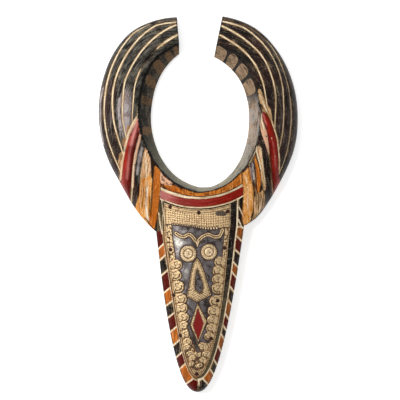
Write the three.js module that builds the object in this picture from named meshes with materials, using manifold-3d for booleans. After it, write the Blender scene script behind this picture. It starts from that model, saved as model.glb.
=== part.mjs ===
// A carved wooden bull mask: a ring of two fluted horns, open between their tips, over a long tapering
// face. An embossed metal plate is tacked onto the face, inside a border of notched blocks.
// The mask lies on its back. X runs across it, Y from the muzzle tip to the horn tips, and Z up from the
// flat back. Lengths are in millimetres and angles in degrees.

import * as THREE from 'three';
import { mergeVertices } from 'three/addons/utils/BufferGeometryUtils.js';
import Module from 'manifold-3d';

const wasm = await Module();
wasm.setup();

// The horns make a ring. Angles round it are measured from straight down, out to each side.
const RING = { x: 1.1, y: 114.4 };

// Both horns were carved by eye, so each has its own curves, given as [angle, radius] points: the outer
// edge, the crease where the top surface turns down into the hole, and the edge of the hole at the back.
// A band starts at an angle on the outer edge and an angle on the crease, and runs to the next band.
// Its rise is the height of its middle over its sides, below zero in a flute. Grooves run along the horn.
const HORNS = [
  {
    side: -1,
    outer: [[20.5, 161.6], [30, 152.5], [40, 143.1], [50, 136.2], [62, 133.4], [90, 133.5],
      [110, 137.5], [130, 143.8], [142, 146], [156, 142.4], [168, 137.6]],
    crease: [[0, 98.8], [20, 92.5], [40, 85], [60, 80.5], [80, 80], [100, 82], [120, 88], [140, 97],
      [168, 102.5]],
    hole: [[0, 91.9], [20, 83.9], [40, 74.6], [60, 67.6], [85, 64.2], [110, 66.2], [130, 72.9],
      [165, 90.7]],
    bands: [
      { outer: 20.5, crease: 36, steps: 2, rise: -1.4 },
      { outer: 23.5, crease: 44, steps: 4, rise: -2.2 },
      { outer: 36, crease: 62, steps: 2, rise: -1.2 },
      { outer: 39.5, crease: 71, steps: 1, rise: 0 },
      { outer: 41.5, crease: 75.5, steps: 3, rise: 2.2 },
      { outer: 51.5, crease: 86.5, steps: 2, rise: -0.9 },
      { outer: 56, crease: 93, steps: 22, rise: 0 },
    ],
    tip: { outer: 167.5, crease: 164.9, hole: 162.6 },
    grooves: [
      [[0, 148], [22, 147], [58, 127.2], [80, 125.8], [100, 129.8], [120, 136.5], [140, 144.5], [168, 138]],
      [[0, 134], [24, 133], [67, 110.5], [90, 113.9], [110, 123.2], [140, 134.5], [168, 136.5]],
      [[0, 119.4], [27, 117], [74, 100.5], [90, 101.2], [120, 113.9], [140, 119.2], [165, 129.8]],
      [[0, 106], [28, 102], [85, 88.6], [100, 91.2], [130, 103.9], [165, 115.2]],
    ],
  },
  {
    side: 1,
    outer: [[23.1, 155.5], [30, 153], [40, 144.8], [50, 138.3], [60, 135], [75, 133], [90, 131.5],
      [110, 133.4], [130, 137.5], [148, 141.2], [167, 139.2]],
    crease: [[0, 98.8], [20, 96], [40, 90], [60, 84.5], [80, 81], [100, 81], [120, 86], [140, 94],
      [167, 100.5]],
    hole: [[0, 91.9], [10, 92.5], [20, 89.6], [40, 80.2], [60, 71.9], [85, 66.7], [110, 68.6], [130, 73.6],
      [166, 84]],
    bands: [
      { outer: 23.1, crease: 40, steps: 2, rise: -1.4 },
      { outer: 29.5, crease: 46, steps: 4, rise: -2.2 },
      { outer: 36.5, crease: 64, steps: 2, rise: -1.2 },
      { outer: 44, crease: 80, steps: 1, rise: 0 },
      { outer: 45.5, crease: 86, steps: 3, rise: 2.2 },
      { outer: 54, crease: 94, steps: 2, rise: -0.9 },
      { outer: 57.5, crease: 98, steps: 22, rise: 0 },
    ],
    tip: { outer: 166.9, crease: 166.4, hole: 165.9 },
    grooves: [
      [[0, 146], [24, 143], [58, 128.4], [80, 122.5], [100, 123.2], [120, 131.8], [140, 138.5], [167, 137]],
      [[0, 133], [26, 131], [68, 114.5], [85, 111.9], [110, 118.5], [130, 129.2], [166, 138.5]],
      [[0, 119.4], [30, 118], [82, 101.2], [100, 102.5], [120, 113.2], [140, 120.5], [167, 127.8]],
      [[0, 107], [30, 107.5], [98, 89.9], [110, 93.2], [130, 103.2], [150, 109.2], [167, 115.8]],
    ],
  },
];
const BOW = 0.4;                // how far a band line bends from straight towards a spiral
const GROOVE = { halfWidth: 1.3, depth: 1.6 };
const CROWN = 0.9;              // rise of the flutes between the grooves
const HEAD_GROOVE_DEPTH = 1.2;
const EDGE_HEIGHT = 10;         // outer edge of the horns
const EDGE_TUCK = 4;            // how far the sides lean in below their edge
const WALL_FOOT = 7;            // hole edge, where the slanting wall of the hole ends
const WALL_BEND = 0.42;         // how far the wall has fallen half way down to the hole edge
const TIP_START = 150;          // crease angle from which the stations turn to the cut ends
const CREST = [[0, 44], [60, 46], [100, 46], [130, 42], [168, 34]];

// The face tapers to the muzzle tip. Each loop round the tip is a power curve of the distance from it:
// tip is where it crosses the centre line, left and right are its half widths 200 mm above the tip.
const TIP_Y = -250;
const LOOP_SPAN = 200;
const OUTLINE = { tip: 0, left: 57.4, right: 54.9, power: 0.45 };
const FRAME_LINE = { tip: 18, left: 47.6, right: 44.8, power: 0.5 };
const PLATE_EDGE = { tip: 21, left: 45.2, right: 37, power: 0.48 };
const CENTRE_LINE = { tip: -0.9, rise: 4 };
const NOTCH_LEFT = 213;         // distance from the muzzle tip to the notches under the cheeks
const NOTCH_RIGHT = 221.7;
const FACE_ROWS = 16;
const SPINE = { tip: 16, top: 40, power: 0.28 };
const FACE_EDGE = { tip: 14, top: 24 };
const FACE_ROUND = 3;
const FACE_TUCK = 0.95;         // width of the back over the width of the outline
const PANEL_COLUMNS = 6;
const PANEL_DEGREES = [-32, 27]; // where the two sides of the plate, carried upward, meet the crease
const FRAME_DEGREES = [-34, 34];

// Notches across the border, by the height of their outer end. The inner end is higher.
const NOTCHES_LEFT = [-60, -75, -95, -118, -135.5, -151.5, -170, -188, -204, -219.5, -239];
const NOTCHES_RIGHT = [-49.5, -67, -84, -97.5, -116.5, -134, -153, -168, -180, -196, -214, -226.5, -240];
const NOTCH = { halfWidth: 1.2, depth: 0.9, lift: 8.5, least: 0.4, past: 3 };
const FRAME_GROOVE = { halfWidth: 1.4, depth: 1 };

// The back is scooped out behind the face.
const SCOOP = { x: 1.5, y: -118, halfWidth: 27, halfLength: 78, depth: 17 };

// The plate and what is embossed on it.
const GAP = 0.3;
const PLATE = { top: 121.8, thickness: 1.1, headRows: 4 };
const BEAD = { halfWidth: 1.2, height: 1.3 };
const EYES = [{ x: -13.7, y: -66, r: 9.6, pupil: 4.4 }, { x: 14.5, y: -64.1, r: 9.4, pupil: 4.4 }];
const BROWS = [
  [[-28.5, -41.3], [-20.2, -44], [-13.6, -41.3], [-8.3, -44], [-1.6, -51]],
  [[1.6, -51], [9.1, -44], [16.5, -42.7], [25, -44], [30.4, -40.7]],
];
const HEADBAND = [[-38, -27], [-20, -28], [-4, -30], [14, -32.5], [32, -32]];
const NOSE = [[-1.2, -76], [15.5, -119], [-1.4, -130], [-14.6, -119]];
const MOUTH = [[-0.5, -137], [9.5, -158], [0.4, -180], [-9, -160]];
const SCALLOPS = { count: 7, first: -84, step: 18, radius: 6, inset: 9, steps: 6 };
const TACKS = [[-37, -3.9], [0.7, -11.4], [39, -9.7], [-36.5, -60.4], [35, -58], [-32.5, -120.5],
  [25.8, -127.7], [-23.5, -174], [17, -178], [-2, -225]];
const TACK = { radius: 2.2, height: 1.7, sides: 8 };

const FINISH = {
  wood: { color: 0x232124, roughness: 0.45 },
  plate: { color: 0xb79c6c, roughness: 0.4, metalness: 0.8 },
  tack: { color: 0x3a241b, roughness: 0.5, metalness: 0.6 },
};

const SAME_POINT = 1e-4;
const { lerp, clamp, degToRad, radToDeg, smoothstep } = THREE.MathUtils;

// A smooth curve through [position, value] points.
function through(points) {
  const positions = points.map((point) => point[0]);
  const values = points.map((point) => point[1]);
  const spline = new THREE.CubicInterpolant(positions, values, 1);
  return (position) => spline.evaluate(clamp(position, positions[0], positions.at(-1)))[0];
}

const crestAt = through(CREST);
const horns = HORNS.map((horn) => ({
  ...horn,
  outerAt: through(horn.outer),
  creaseAt: through(horn.crease),
  holeAt: through(horn.hole),
  groovesAt: horn.grooves.map(through),
}));

function onRing(side, degrees, radius) {
  const angle = degToRad(degrees);
  return new THREE.Vector2(RING.x + side * radius * Math.sin(angle), RING.y - radius * Math.cos(angle));
}

function polarOf(point) {
  const dx = point.x - RING.x;
  const dy = RING.y - point.y;
  return { degrees: radToDeg(Math.atan2(Math.abs(dx), dy)), radius: Math.hypot(dx, dy) };
}

function raised(point, height) {
  return new THREE.Vector3(point.x, point.y, height);
}

// Face: half widths, loops and the rounded surface.
function centreAt(distance) {
  return CENTRE_LINE.tip + CENTRE_LINE.rise * distance / LOOP_SPAN;
}

function halfWidth(loop, side, distance) {
  const reach = Math.max(distance - loop.tip, 0) / (LOOP_SPAN - loop.tip);
  return (side < 0 ? loop.left : loop.right) * reach ** loop.power;
}

// A point of a loop, where share runs from 0 at the muzzle to 1 at the notches.
function onLoop(loop, side, share) {
  const top = side < 0 ? NOTCH_LEFT : NOTCH_RIGHT;
  const distance = lerp(loop.tip, top, share * share);
  return new THREE.Vector2(centreAt(distance) + side * halfWidth(loop, side, distance), TIP_Y + distance);
}

function faceHeight(x, y) {
  const distance = Math.max(y - TIP_Y, 0);
  const share = Math.min(distance / NOTCH_LEFT, 1);
  const spine = lerp(SPINE.tip, SPINE.top, share ** SPINE.power);
  const edge = lerp(FACE_EDGE.tip, FACE_EDGE.top, Math.sqrt(share));
  const side = x < centreAt(distance) ? -1 : 1;
  const across = Math.abs(x - centreAt(distance)) / Math.max(halfWidth(OUTLINE, side, distance), 1);
  return spine - (spine - edge) * Math.min(across, 1.1) ** FACE_ROUND;
}

// The head, between the notches and the hole, rises from the face to the crest of the ring.
function notchLineY(x) {
  const left = onLoop(OUTLINE, -1, 1);
  const right = onLoop(OUTLINE, 1, 1);
  return lerp(left.y, right.y, (x - left.x) / (right.x - left.x));
}

function surfaceHeight(x, y) {
  if (y <= notchLineY(x)) {
    return faceHeight(x, y);
  }
  const horn = horns[x < RING.x ? 0 : 1];
  const { degrees, radius } = polarOf({ x, y });
  const slope = (x - RING.x) / (RING.y - y);
  let footY = notchLineY(x);
  for (let pass = 0; pass < 4; pass += 1) {
    footY = notchLineY(RING.x + slope * (RING.y - footY));
  }
  const foot = { x: RING.x + slope * (RING.y - footY), y: footY };
  const span = polarOf(foot).radius - horn.creaseAt(degrees);
  const share = clamp((polarOf(foot).radius - radius) / span, 0, 1);
  return lerp(faceHeight(foot.x, foot.y), crestAt(degrees), share);
}

// Stations: a station is one line across the ring, from its outer edge to the crease and into the hole.
function hornStation(horn, outerDegrees, creaseDegrees, holeDegrees) {
  const edge = onRing(horn.side, outerDegrees, horn.outerAt(outerDegrees));
  const crease = onRing(horn.side, creaseDegrees, horn.creaseAt(creaseDegrees));
  const hole = onRing(horn.side, holeDegrees, horn.holeAt(holeDegrees));
  const at = (share) => {
    const radius = lerp(horn.outerAt(outerDegrees), horn.creaseAt(creaseDegrees), share);
    const spiral = onRing(horn.side, lerp(outerDegrees, creaseDegrees, share), radius);
    return edge.clone().lerp(crease, share).lerp(spiral, BOW);
  };
  return { horn, edge, crease, hole, at, outerDegrees, creaseDegrees };
}

// Share of the way from the edge to the crease at which a station crosses a groove.
function crossing(station, grooveAt) {
  let low = 0;
  let high = 1;
  for (let step = 0; step < 20; step += 1) {
    const middle = (low + high) / 2;
    const { degrees, radius } = polarOf(station.at(middle));
    if (radius > grooveAt(degrees)) {
      low = middle;
    } else {
      high = middle;
    }
  }
  return low;
}

// Lines across a station: three for each groove, with one or two in the flutes between them.
function linesAcross(station) {
  const width = station.edge.distanceTo(station.crease);
  const half = GROOVE.halfWidth / width;
  const lines = [{ share: 0, cut: 0, crown: 0 }];
  const addFlute = (end, count) => {
    const start = lines.at(-1).share;
    for (let i = 1; i <= count; i += 1) {
      lines.push({ share: lerp(start, end, i / (count + 1)), cut: 0, crown: 1 });
    }
  };
  station.horn.groovesAt.forEach((grooveAt, index) => {
    const least = lines.at(-1).share + 3 * half;
    const share = Math.max(crossing(station, grooveAt), least);
    const depth = clamp((share - 0.02) / 0.05, 0, 1);
    addFlute(share - half, index === 0 ? 2 : 1);
    lines.push({ share: share - half, cut: 0, crown: 0 });
    lines.push({ share, cut: depth, crown: 0, index });
    lines.push({ share: share + half, cut: 0, crown: 0 });
  });
  addFlute(1, 1);
  lines.push({ share: 1, cut: 0, crown: 0 });
  return lines;
}

function holeWall(station, crestHeight) {
  const middle = station.crease.clone().lerp(station.hole, 0.5);
  return [
    raised(middle, lerp(crestHeight, WALL_FOOT, WALL_BEND)),
    raised(station.hole, WALL_FOOT),
    raised(station.hole, 0),
  ];
}

// Section of a horn, domed from its low outer edge up to the crease.
function dome(share) {
  return Math.sqrt(1 - (1 - share) ** 2.2);
}

function hornProfile(station, blend, rise) {
  const crest = crestAt(station.creaseDegrees) + rise;
  const edgeHeight = lerp(FACE_EDGE.top, EDGE_HEIGHT, blend);
  const grooved = station.outerDegrees >= station.horn.bands.at(-1).outer ? 1 : 0;
  const top = linesAcross(station).map(({ share, cut, crown }) => {
    const base = lerp(edgeHeight, crestAt(station.creaseDegrees), lerp(share, dome(share), blend));
    const relief = grooved * (crown * CROWN * Math.min(share * 8, 1) - cut * GROOVE.depth);
    return raised(station.at(share), base + relief + rise * Math.min(share * 6, 1));
  });
  const inward = station.crease.clone().sub(station.edge).setLength(EDGE_TUCK);
  return [raised(station.edge.clone().add(inward), 0), ...top, ...holeWall(station, crest)];
}

function hornStations(horn) {
  const ends = [...horn.bands, { ...horn.tip, steps: 0, rise: 0 }];
  const profiles = [];
  const cheekEnd = horn.bands[2].outer;
  for (let i = 0; i + 1 < ends.length; i += 1) {
    for (let step = i === 0 ? 1 : 0; step < ends[i].steps; step += 1) {
      const share = step / ends[i].steps;
      const outerDegrees = lerp(ends[i].outer, ends[i + 1].outer, share);
      const creaseDegrees = lerp(ends[i].crease, ends[i + 1].crease, share);
      const nearTip = clamp((creaseDegrees - TIP_START) / (horn.tip.crease - TIP_START), 0, 1);
      const holeDegrees = creaseDegrees + nearTip * (horn.tip.hole - horn.tip.crease);
      const blend = smoothstep(outerDegrees, horn.bands[0].outer, cheekEnd);
      const rise = ends[i].rise * Math.sin(Math.PI * share);
      profiles.push(hornProfile(hornStation(horn, outerDegrees, creaseDegrees, holeDegrees), blend, rise));
    }
  }
  const tipStation = hornStation(horn, horn.tip.outer, horn.tip.crease, horn.tip.hole);
  profiles.push(hornProfile(tipStation, 1, 0));
  return profiles;
}

// Columns of the face, from the left outline to the right one, and the crease angle each leads up to.
function faceColumns() {
  const columns = [];
  const middle = (low, high, share) => (row) => low(row).lerp(high(row), share);
  const loop = (shape, side) => (row) => onLoop(shape, side, row);
  const firstLeft = horns[0].bands[0].crease;
  const firstRight = horns[1].bands[0].crease;
  columns.push({ at: loop(OUTLINE, -1), degrees: -firstLeft });
  columns.push({ at: middle(loop(OUTLINE, -1), loop(FRAME_LINE, -1), 0.5), degrees: -firstLeft + 1 });
  columns.push({ at: loop(FRAME_LINE, -1), degrees: FRAME_DEGREES[0] });
  for (let i = 0; i <= PANEL_COLUMNS; i += 1) {
    const share = i / PANEL_COLUMNS;
    const degrees = lerp(PANEL_DEGREES[0], PANEL_DEGREES[1], share);
    const at = middle(loop(PLATE_EDGE, -1), loop(PLATE_EDGE, 1), share);
    columns.push({ at, degrees, plate: true });
  }
  columns.push({ at: loop(FRAME_LINE, 1), degrees: FRAME_DEGREES[1] });
  columns.push({ at: middle(loop(OUTLINE, 1), loop(FRAME_LINE, 1), 0.5), degrees: firstRight - 3 });
  columns.push({ at: loop(OUTLINE, 1), degrees: firstRight });
  return columns;
}

// A column of the head runs on from its face column, up to the crease.
function headStation(column) {
  const horn = horns[column.degrees < 0 ? 0 : 1];
  const degrees = Math.abs(column.degrees);
  const edge = column.at(1);
  const crease = onRing(horn.side, degrees, horn.creaseAt(degrees));
  const hole = onRing(horn.side, degrees, horn.holeAt(degrees));
  const at = (share) => edge.clone().lerp(crease, share);
  return { horn, edge, crease, hole, at, creaseDegrees: degrees };
}

function headProfile(column) {
  const station = headStation(column);
  const top = linesAcross(station).map(({ share, cut, index }) => {
    const point = station.at(share);
    const depth = index >= 2 ? cut * HEAD_GROOVE_DEPTH : 0;
    return raised(point, surfaceHeight(point.x, point.y) - depth);
  });
  return [...top, ...holeWall(station, crestAt(station.creaseDegrees))];
}

function faceProfile(column) {
  const points = [];
  for (let row = 0; row < FACE_ROWS; row += 1) {
    const point = column.at(row / FACE_ROWS);
    points.push(raised(point, surfaceHeight(point.x, point.y)));
  }
  return points;
}

// Mesh helpers. A weave joins stations side by side, counterclockwise seen from above.
function addTriangle(triangles, a, b, c) {
  if (Math.min(a.distanceTo(b), b.distanceTo(c), c.distanceTo(a)) > SAME_POINT) {
    triangles.push(a, b, c);
  }
}

function weave(triangles, stations) {
  for (let i = 0; i + 1 < stations.length; i += 1) {
    for (let j = 0; j + 1 < stations[i].length; j += 1) {
      addTriangle(triangles, stations[i][j], stations[i + 1][j], stations[i][j + 1]);
      addTriangle(triangles, stations[i + 1][j], stations[i + 1][j + 1], stations[i][j + 1]);
    }
  }
}

// Closes a flat polygon of points, seen in two given directions.
function cap(triangles, points, across, up) {
  const flat = points.map((point) => new THREE.Vector2(point.dot(across), point.dot(up)));
  const turned = THREE.ShapeUtils.isClockWise(flat);
  THREE.ShapeUtils.triangulateShape(flat, []).forEach(([a, b, c]) => {
    addTriangle(triangles, points[a], turned ? points[c] : points[b], turned ? points[b] : points[c]);
  });
}

function solidOfGeometry(source) {
  const geometry = source.clone();
  geometry.deleteAttribute('normal');
  geometry.deleteAttribute('uv');
  const merged = mergeVertices(geometry, SAME_POINT);
  const vertProperties = new Float32Array(merged.attributes.position.array);
  const triVerts = new Uint32Array(merged.index.array);
  return new wasm.Manifold(new wasm.Mesh({ numProp: 3, vertProperties, triVerts }));
}

function solidOf(triangles) {
  return solidOfGeometry(new THREE.BufferGeometry().setFromPoints(triangles));
}

function geometryOf(solid) {
  const mesh = solid.getMesh();
  const geometry = new THREE.BufferGeometry();
  geometry.setAttribute('position', new THREE.BufferAttribute(mesh.vertProperties, 3));
  geometry.setIndex(new THREE.BufferAttribute(mesh.triVerts, 1));
  geometry.computeVertexNormals();
  return geometry;
}

// A ribbon follows a path over the surface, with a section of [across, height over the surface] points.
function ribbon(path, section, closed, heightAt) {
  const last = path.length - 1;
  const rings = path.map((point, i) => {
    const before = path[closed ? (i + last) % path.length : Math.max(i - 1, 0)];
    const after = path[closed ? (i + 1) % path.length : Math.min(i + 1, last)];
    const along = after.clone().sub(before).normalize();
    return section.map(([across, height]) => {
      const x = point.x + along.y * across;
      const y = point.y - along.x * across;
      return new THREE.Vector3(x, y, heightAt(x, y) + height);
    });
  });
  const triangles = [];
  const loops = rings.map((ring) => [...ring, ring[0]]);
  weave(triangles, closed ? [...loops, loops[0]] : loops);
  if (!closed) {
    for (let i = 1; i + 1 < section.length; i += 1) {
      addTriangle(triangles, rings[0][0], rings[0][i], rings[0][i + 1]);
      addTriangle(triangles, rings[last][0], rings[last][i + 1], rings[last][i]);
    }
  }
  return solidOf(triangles);
}

function pathOf(points, steps = 0) {
  const corners = points.map(([x, y]) => new THREE.Vector2(x, y));
  return steps ? new THREE.SplineCurve(corners).getPoints(steps) : corners;
}

// Wood body: ring, head and face in one closed mesh, then the carved cuts.
function bodySolid() {
  const columns = faceColumns();
  const middle = columns.map((column) => [...faceProfile(column), ...headProfile(column)]);
  const left = hornStations(horns[0]).reverse();
  const right = hornStations(horns[1]);
  const shared = FACE_ROWS;
  const tucked = (point) => new THREE.Vector3(point.x * FACE_TUCK, point.y + EDGE_TUCK / 2, 0);
  const leftNotch = [tucked(middle[0][shared]), ...middle[0].slice(shared)];
  const rightNotch = [tucked(middle.at(-1)[shared]), ...middle.at(-1).slice(shared)];
  const triangles = [];
  weave(triangles, [...left, leftNotch]);
  weave(triangles, middle);
  weave(triangles, [rightNotch, ...right]);

  const leftSide = middle[0].slice(0, shared + 1).reverse();
  const rightSide = middle.at(-1).slice(1, shared + 1);
  const faceSides = [...leftSide, ...rightSide].map((point) => [tucked(point), point]);
  weave(triangles, faceSides);

  const outerBack = [
    ...left.map((profile) => profile[0]),
    ...faceSides.map((pair) => pair[0]),
    ...right.map((profile) => profile[0]),
  ];
  const holeBack = [...left, ...middle, ...right].map((profile) => profile.at(-1));
  const xAxis = new THREE.Vector3(1, 0, 0);
  const yAxis = new THREE.Vector3(0, 1, 0);
  const zAxis = new THREE.Vector3(0, 0, 1);
  cap(triangles, [...outerBack.reverse(), ...holeBack], xAxis, yAxis);
  cap(triangles, left[0], yAxis, zAxis);
  cap(triangles, [...right.at(-1)].reverse(), yAxis, zAxis);
  return solidOf(triangles);
}

function vSection({ halfWidth: half, depth }) {
  const clear = 2;
  const spread = half * (1 + clear / depth);
  return [[0, -depth], [spread, clear], [-spread, clear]];
}

function borderNotch(side, y) {
  const top = side < 0 ? NOTCH_LEFT : NOTCH_RIGHT;
  const distance = y - TIP_Y;
  const innerDistance = Math.max(distance + NOTCH.lift - FRAME_LINE.tip, NOTCH.least);
  const outer = onLoop(OUTLINE, side, Math.sqrt(distance / top));
  const inner = onLoop(FRAME_LINE, side, Math.sqrt(innerDistance / (top - FRAME_LINE.tip)));
  const past = outer.clone().sub(inner).setLength(NOTCH.past);
  return ribbon([inner, outer.add(past)], vSection(NOTCH), false, surfaceHeight);
}

function frameGroove() {
  const path = [];
  for (let row = FACE_ROWS; row > 0; row -= 1) {
    path.push(onLoop(FRAME_LINE, -1, row / FACE_ROWS));
  }
  for (let row = 0; row <= FACE_ROWS; row += 1) {
    path.push(onLoop(FRAME_LINE, 1, row / FACE_ROWS));
  }
  return ribbon(path, vSection(FRAME_GROOVE), false, surfaceHeight);
}

function scoop() {
  const sphere = new THREE.SphereGeometry(1, 16, 10);
  sphere.scale(SCOOP.halfWidth, SCOOP.halfLength, SCOOP.depth);
  sphere.translate(SCOOP.x, SCOOP.y, 0);
  return solidOfGeometry(sphere);
}

function maskWood() {
  const cuts = [
    frameGroove(),
    ...NOTCHES_LEFT.map((y) => borderNotch(-1, y)),
    ...NOTCHES_RIGHT.map((y) => borderNotch(1, y)),
    scoop(),
  ];
  return cuts.reduce((body, cut) => body.subtract(cut), bodySolid());
}

// Plate: a sheet that follows the wood under it, with beads raised on it.
function plateSheet() {
  const columns = faceColumns().filter((column) => column.plate);
  const stations = columns.map((column) => {
    const station = headStation(column);
    const topShare = crossing(station, () => PLATE.top);
    const points = [];
    for (let row = 0; row < FACE_ROWS; row += 1) {
      points.push(column.at(row / FACE_ROWS));
    }
    for (let row = 0; row <= PLATE.headRows; row += 1) {
      points.push(station.at(topShare * row / PLATE.headRows));
    }
    return points;
  });
  const lift = (point, height) => raised(point, surfaceHeight(point.x, point.y) + height);
  const under = stations.map((points) => points.map((point) => lift(point, GAP)));
  const over = stations.map((points) => points.map((point) => lift(point, GAP + PLATE.thickness)));
  const side = (i) => over[i].map((point, row) => [under[i][row], point]);
  const topEdge = over.map((points, i) => [under[i].at(-1), points.at(-1)]);
  const triangles = [];
  weave(triangles, over);
  weave(triangles, [...under].reverse());
  weave(triangles, side(0).reverse());
  weave(triangles, side(over.length - 1));
  weave(triangles, topEdge.reverse());
  return solidOf(triangles);
}

function bead(path, closed, height = BEAD.height, half = BEAD.halfWidth) {
  const foot = GAP + 0.6;
  const top = GAP + PLATE.thickness + height;
  const section = [[-half * 1.3, foot], [-half * 0.5, top], [half * 0.5, top], [half * 1.3, foot]];
  return ribbon(path, section.reverse(), closed, surfaceHeight);
}

function circlePath(x, y, radius, steps, from = 0, to = 360) {
  const whole = to - from === 360;
  return Array.from({ length: whole ? steps : steps + 1 }, (_, i) => {
    const angle = degToRad(lerp(from, to, i / steps));
    return new THREE.Vector2(x + radius * Math.cos(angle), y + radius * Math.sin(angle));
  });
}

function scallops(side) {
  return Array.from({ length: SCALLOPS.count }, (_, i) => {
    const y = SCALLOPS.first - i * SCALLOPS.step;
    const distance = y - TIP_Y;
    const half = halfWidth(PLATE_EDGE, side, distance) - SCALLOPS.inset;
    const x = centreAt(distance) + side * half;
    const facing = side < 0 ? 0 : 180;
    return circlePath(x, y, SCALLOPS.radius, SCALLOPS.steps, facing - 110, facing + 110);
  });
}

function facePlate() {
  const beads = [
    ...EYES.map(({ x, y, r }) => bead(circlePath(x, y, r, 16), true)),
    ...EYES.map(({ x, y, pupil }) => bead(circlePath(x, y, pupil, 8), true)),
    ...BROWS.map((points) => bead(pathOf(points, 8), false)),
    bead(pathOf(HEADBAND, 5), false, 0.8, 1.6),
    bead(pathOf(NOSE), true, 1.8, 1.6),
    bead(pathOf(MOUTH), true, 1.5, 1.4),
    ...scallops(-1).map((path) => bead(path, false, 0.9)),
    ...scallops(1).map((path) => bead(path, false, 0.9)),
  ];
  return beads.reduce((plate, raisedBead) => plate.add(raisedBead), plateSheet());
}

// Tacks: a domed head each, seated on the plate and turned to its slope.
function tackGeometry() {
  const profile = [new THREE.Vector2(0, 0), new THREE.Vector2(TACK.radius, 0)];
  for (let i = 1; i <= 3; i += 1) {
    const angle = i / 3 * Math.PI / 2;
    const radius = i === 3 ? 0 : TACK.radius * Math.cos(angle);
    profile.push(new THREE.Vector2(radius, 0.4 + (TACK.height - 0.4) * Math.sin(angle)));
  }
  const geometry = new THREE.LatheGeometry(profile, TACK.sides);
  geometry.rotateX(Math.PI / 2);
  return geometry;
}

const mask = new THREE.Group();

function addMesh(name, geometry, finish) {
  const mesh = new THREE.Mesh(geometry, new THREE.MeshStandardMaterial(finish));
  mesh.name = name;
  mask.add(mesh);
  return mesh;
}

addMesh('mask_wood', geometryOf(maskWood()), FINISH.wood);
addMesh('face_plate', geometryOf(facePlate()), FINISH.plate);
TACKS.forEach(([x, y], i) => {
  const tack = addMesh(`tack_${String(i + 1).padStart(2, '0')}`, tackGeometry(), FINISH.tack);
  const step = 1;
  const slopeX = (surfaceHeight(x + step, y) - surfaceHeight(x - step, y)) / (2 * step);
  const slopeY = (surfaceHeight(x, y + step) - surfaceHeight(x, y - step)) / (2 * step);
  const normal = new THREE.Vector3(-slopeX, -slopeY, 1).normalize();
  tack.quaternion.setFromUnitVectors(new THREE.Vector3(0, 0, 1), normal);
  tack.position.set(x, y, surfaceHeight(x, y) + GAP + PLATE.thickness + GAP);
});

export default mask;
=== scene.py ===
# A carved and painted wooden bull mask with an embossed plate tacked to its face, lying on its back.
# Shapes are worked out in millimetres: X across, Y from the muzzle to the horn tips, Z up from the back.
import math

import bmesh
import bpy
import numpy as np
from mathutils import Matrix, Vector


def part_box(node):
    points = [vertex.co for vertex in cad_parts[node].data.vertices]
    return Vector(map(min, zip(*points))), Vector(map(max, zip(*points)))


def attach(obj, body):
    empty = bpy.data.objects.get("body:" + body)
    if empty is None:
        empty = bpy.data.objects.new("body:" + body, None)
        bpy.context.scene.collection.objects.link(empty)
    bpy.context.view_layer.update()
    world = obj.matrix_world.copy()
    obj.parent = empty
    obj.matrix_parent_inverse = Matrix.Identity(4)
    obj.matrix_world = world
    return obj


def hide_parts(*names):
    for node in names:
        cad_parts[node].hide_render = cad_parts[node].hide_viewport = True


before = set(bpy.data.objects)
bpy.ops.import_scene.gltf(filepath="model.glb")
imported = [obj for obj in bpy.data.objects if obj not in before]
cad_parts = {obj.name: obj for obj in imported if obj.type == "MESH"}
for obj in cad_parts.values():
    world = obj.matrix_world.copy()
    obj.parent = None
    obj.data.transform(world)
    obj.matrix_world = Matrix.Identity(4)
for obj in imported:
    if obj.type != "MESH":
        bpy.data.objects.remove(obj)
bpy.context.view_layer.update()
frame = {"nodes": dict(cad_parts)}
mm = 0.001
print("frame loaded with", len(frame["nodes"]), "nodes")


# Plain number helpers

def lerp(low, high, share):
    return low + (high - low) * share


def ease(share):
    return share * share * (3 - 2 * share)


def smooth(low, high, value):
    return ease(np.clip((value - low) / (high - low), 0, 1))


def unit(vectors):
    return vectors / np.linalg.norm(vectors, axis=1, keepdims=True)


def raised(flat, height):  # points on the plane, with their heights
    return np.concatenate([flat, np.asarray(height)[..., None]], -1)


def planes(points):  # x and y of many points
    return points[..., 0], points[..., 1]


def through(points):  # a smooth curve through (position, value) points
    at, value = np.array(points, float).T
    slope = np.diff(value) / np.diff(at)
    tangent = np.concatenate([slope[:1], (slope[1:] + slope[:-1]) / 2, slope[-1:]])

    def curve(position):
        position = np.clip(position, at[0], at[-1])
        i = np.clip(np.searchsorted(at, position, side="right") - 1, 0, len(at) - 2)
        step = at[i + 1] - at[i]
        p = (position - at[i]) / step
        rise = value[i + 1] - value[i]
        start, end = tangent[i] * step, tangent[i + 1] * step
        bend = p * (1 - p) * ((start - rise) * (1 - p) + (rise - end) * p)
        return value[i] + rise * p + bend

    return curve


def uneven(a, b, cell, seed):  # smooth random values from -1 to 1, one lattice point every cell
    size = 89  # the lattice repeats after so many points
    lattice = np.random.default_rng(seed).uniform(-1, 1, (size, size))
    u, v = np.asarray(a, float) / cell, np.asarray(b, float) / cell
    i, j = np.floor(u).astype(int), np.floor(v).astype(int)
    f, g = ease(u - i), ease(v - j)
    corner = [[lattice[(i + p) % size, (j + q) % size] for q in (0, 1)] for p in (0, 1)]
    return lerp(lerp(corner[0][0], corner[1][0], f), lerp(corner[0][1], corner[1][1], f), g)


def segmentDistance(x, y, start, end):  # distance to a straight line, and the length along it
    ax, ay = start
    bx, by = end
    length = math.hypot(bx - ax, by - ay)
    share = np.clip(((x - ax) * (bx - ax) + (y - ay) * (by - ay)) / length ** 2, 0, 1)
    return np.hypot(x - ax - share * (bx - ax), y - ay - share * (by - ay)), share * length


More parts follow.
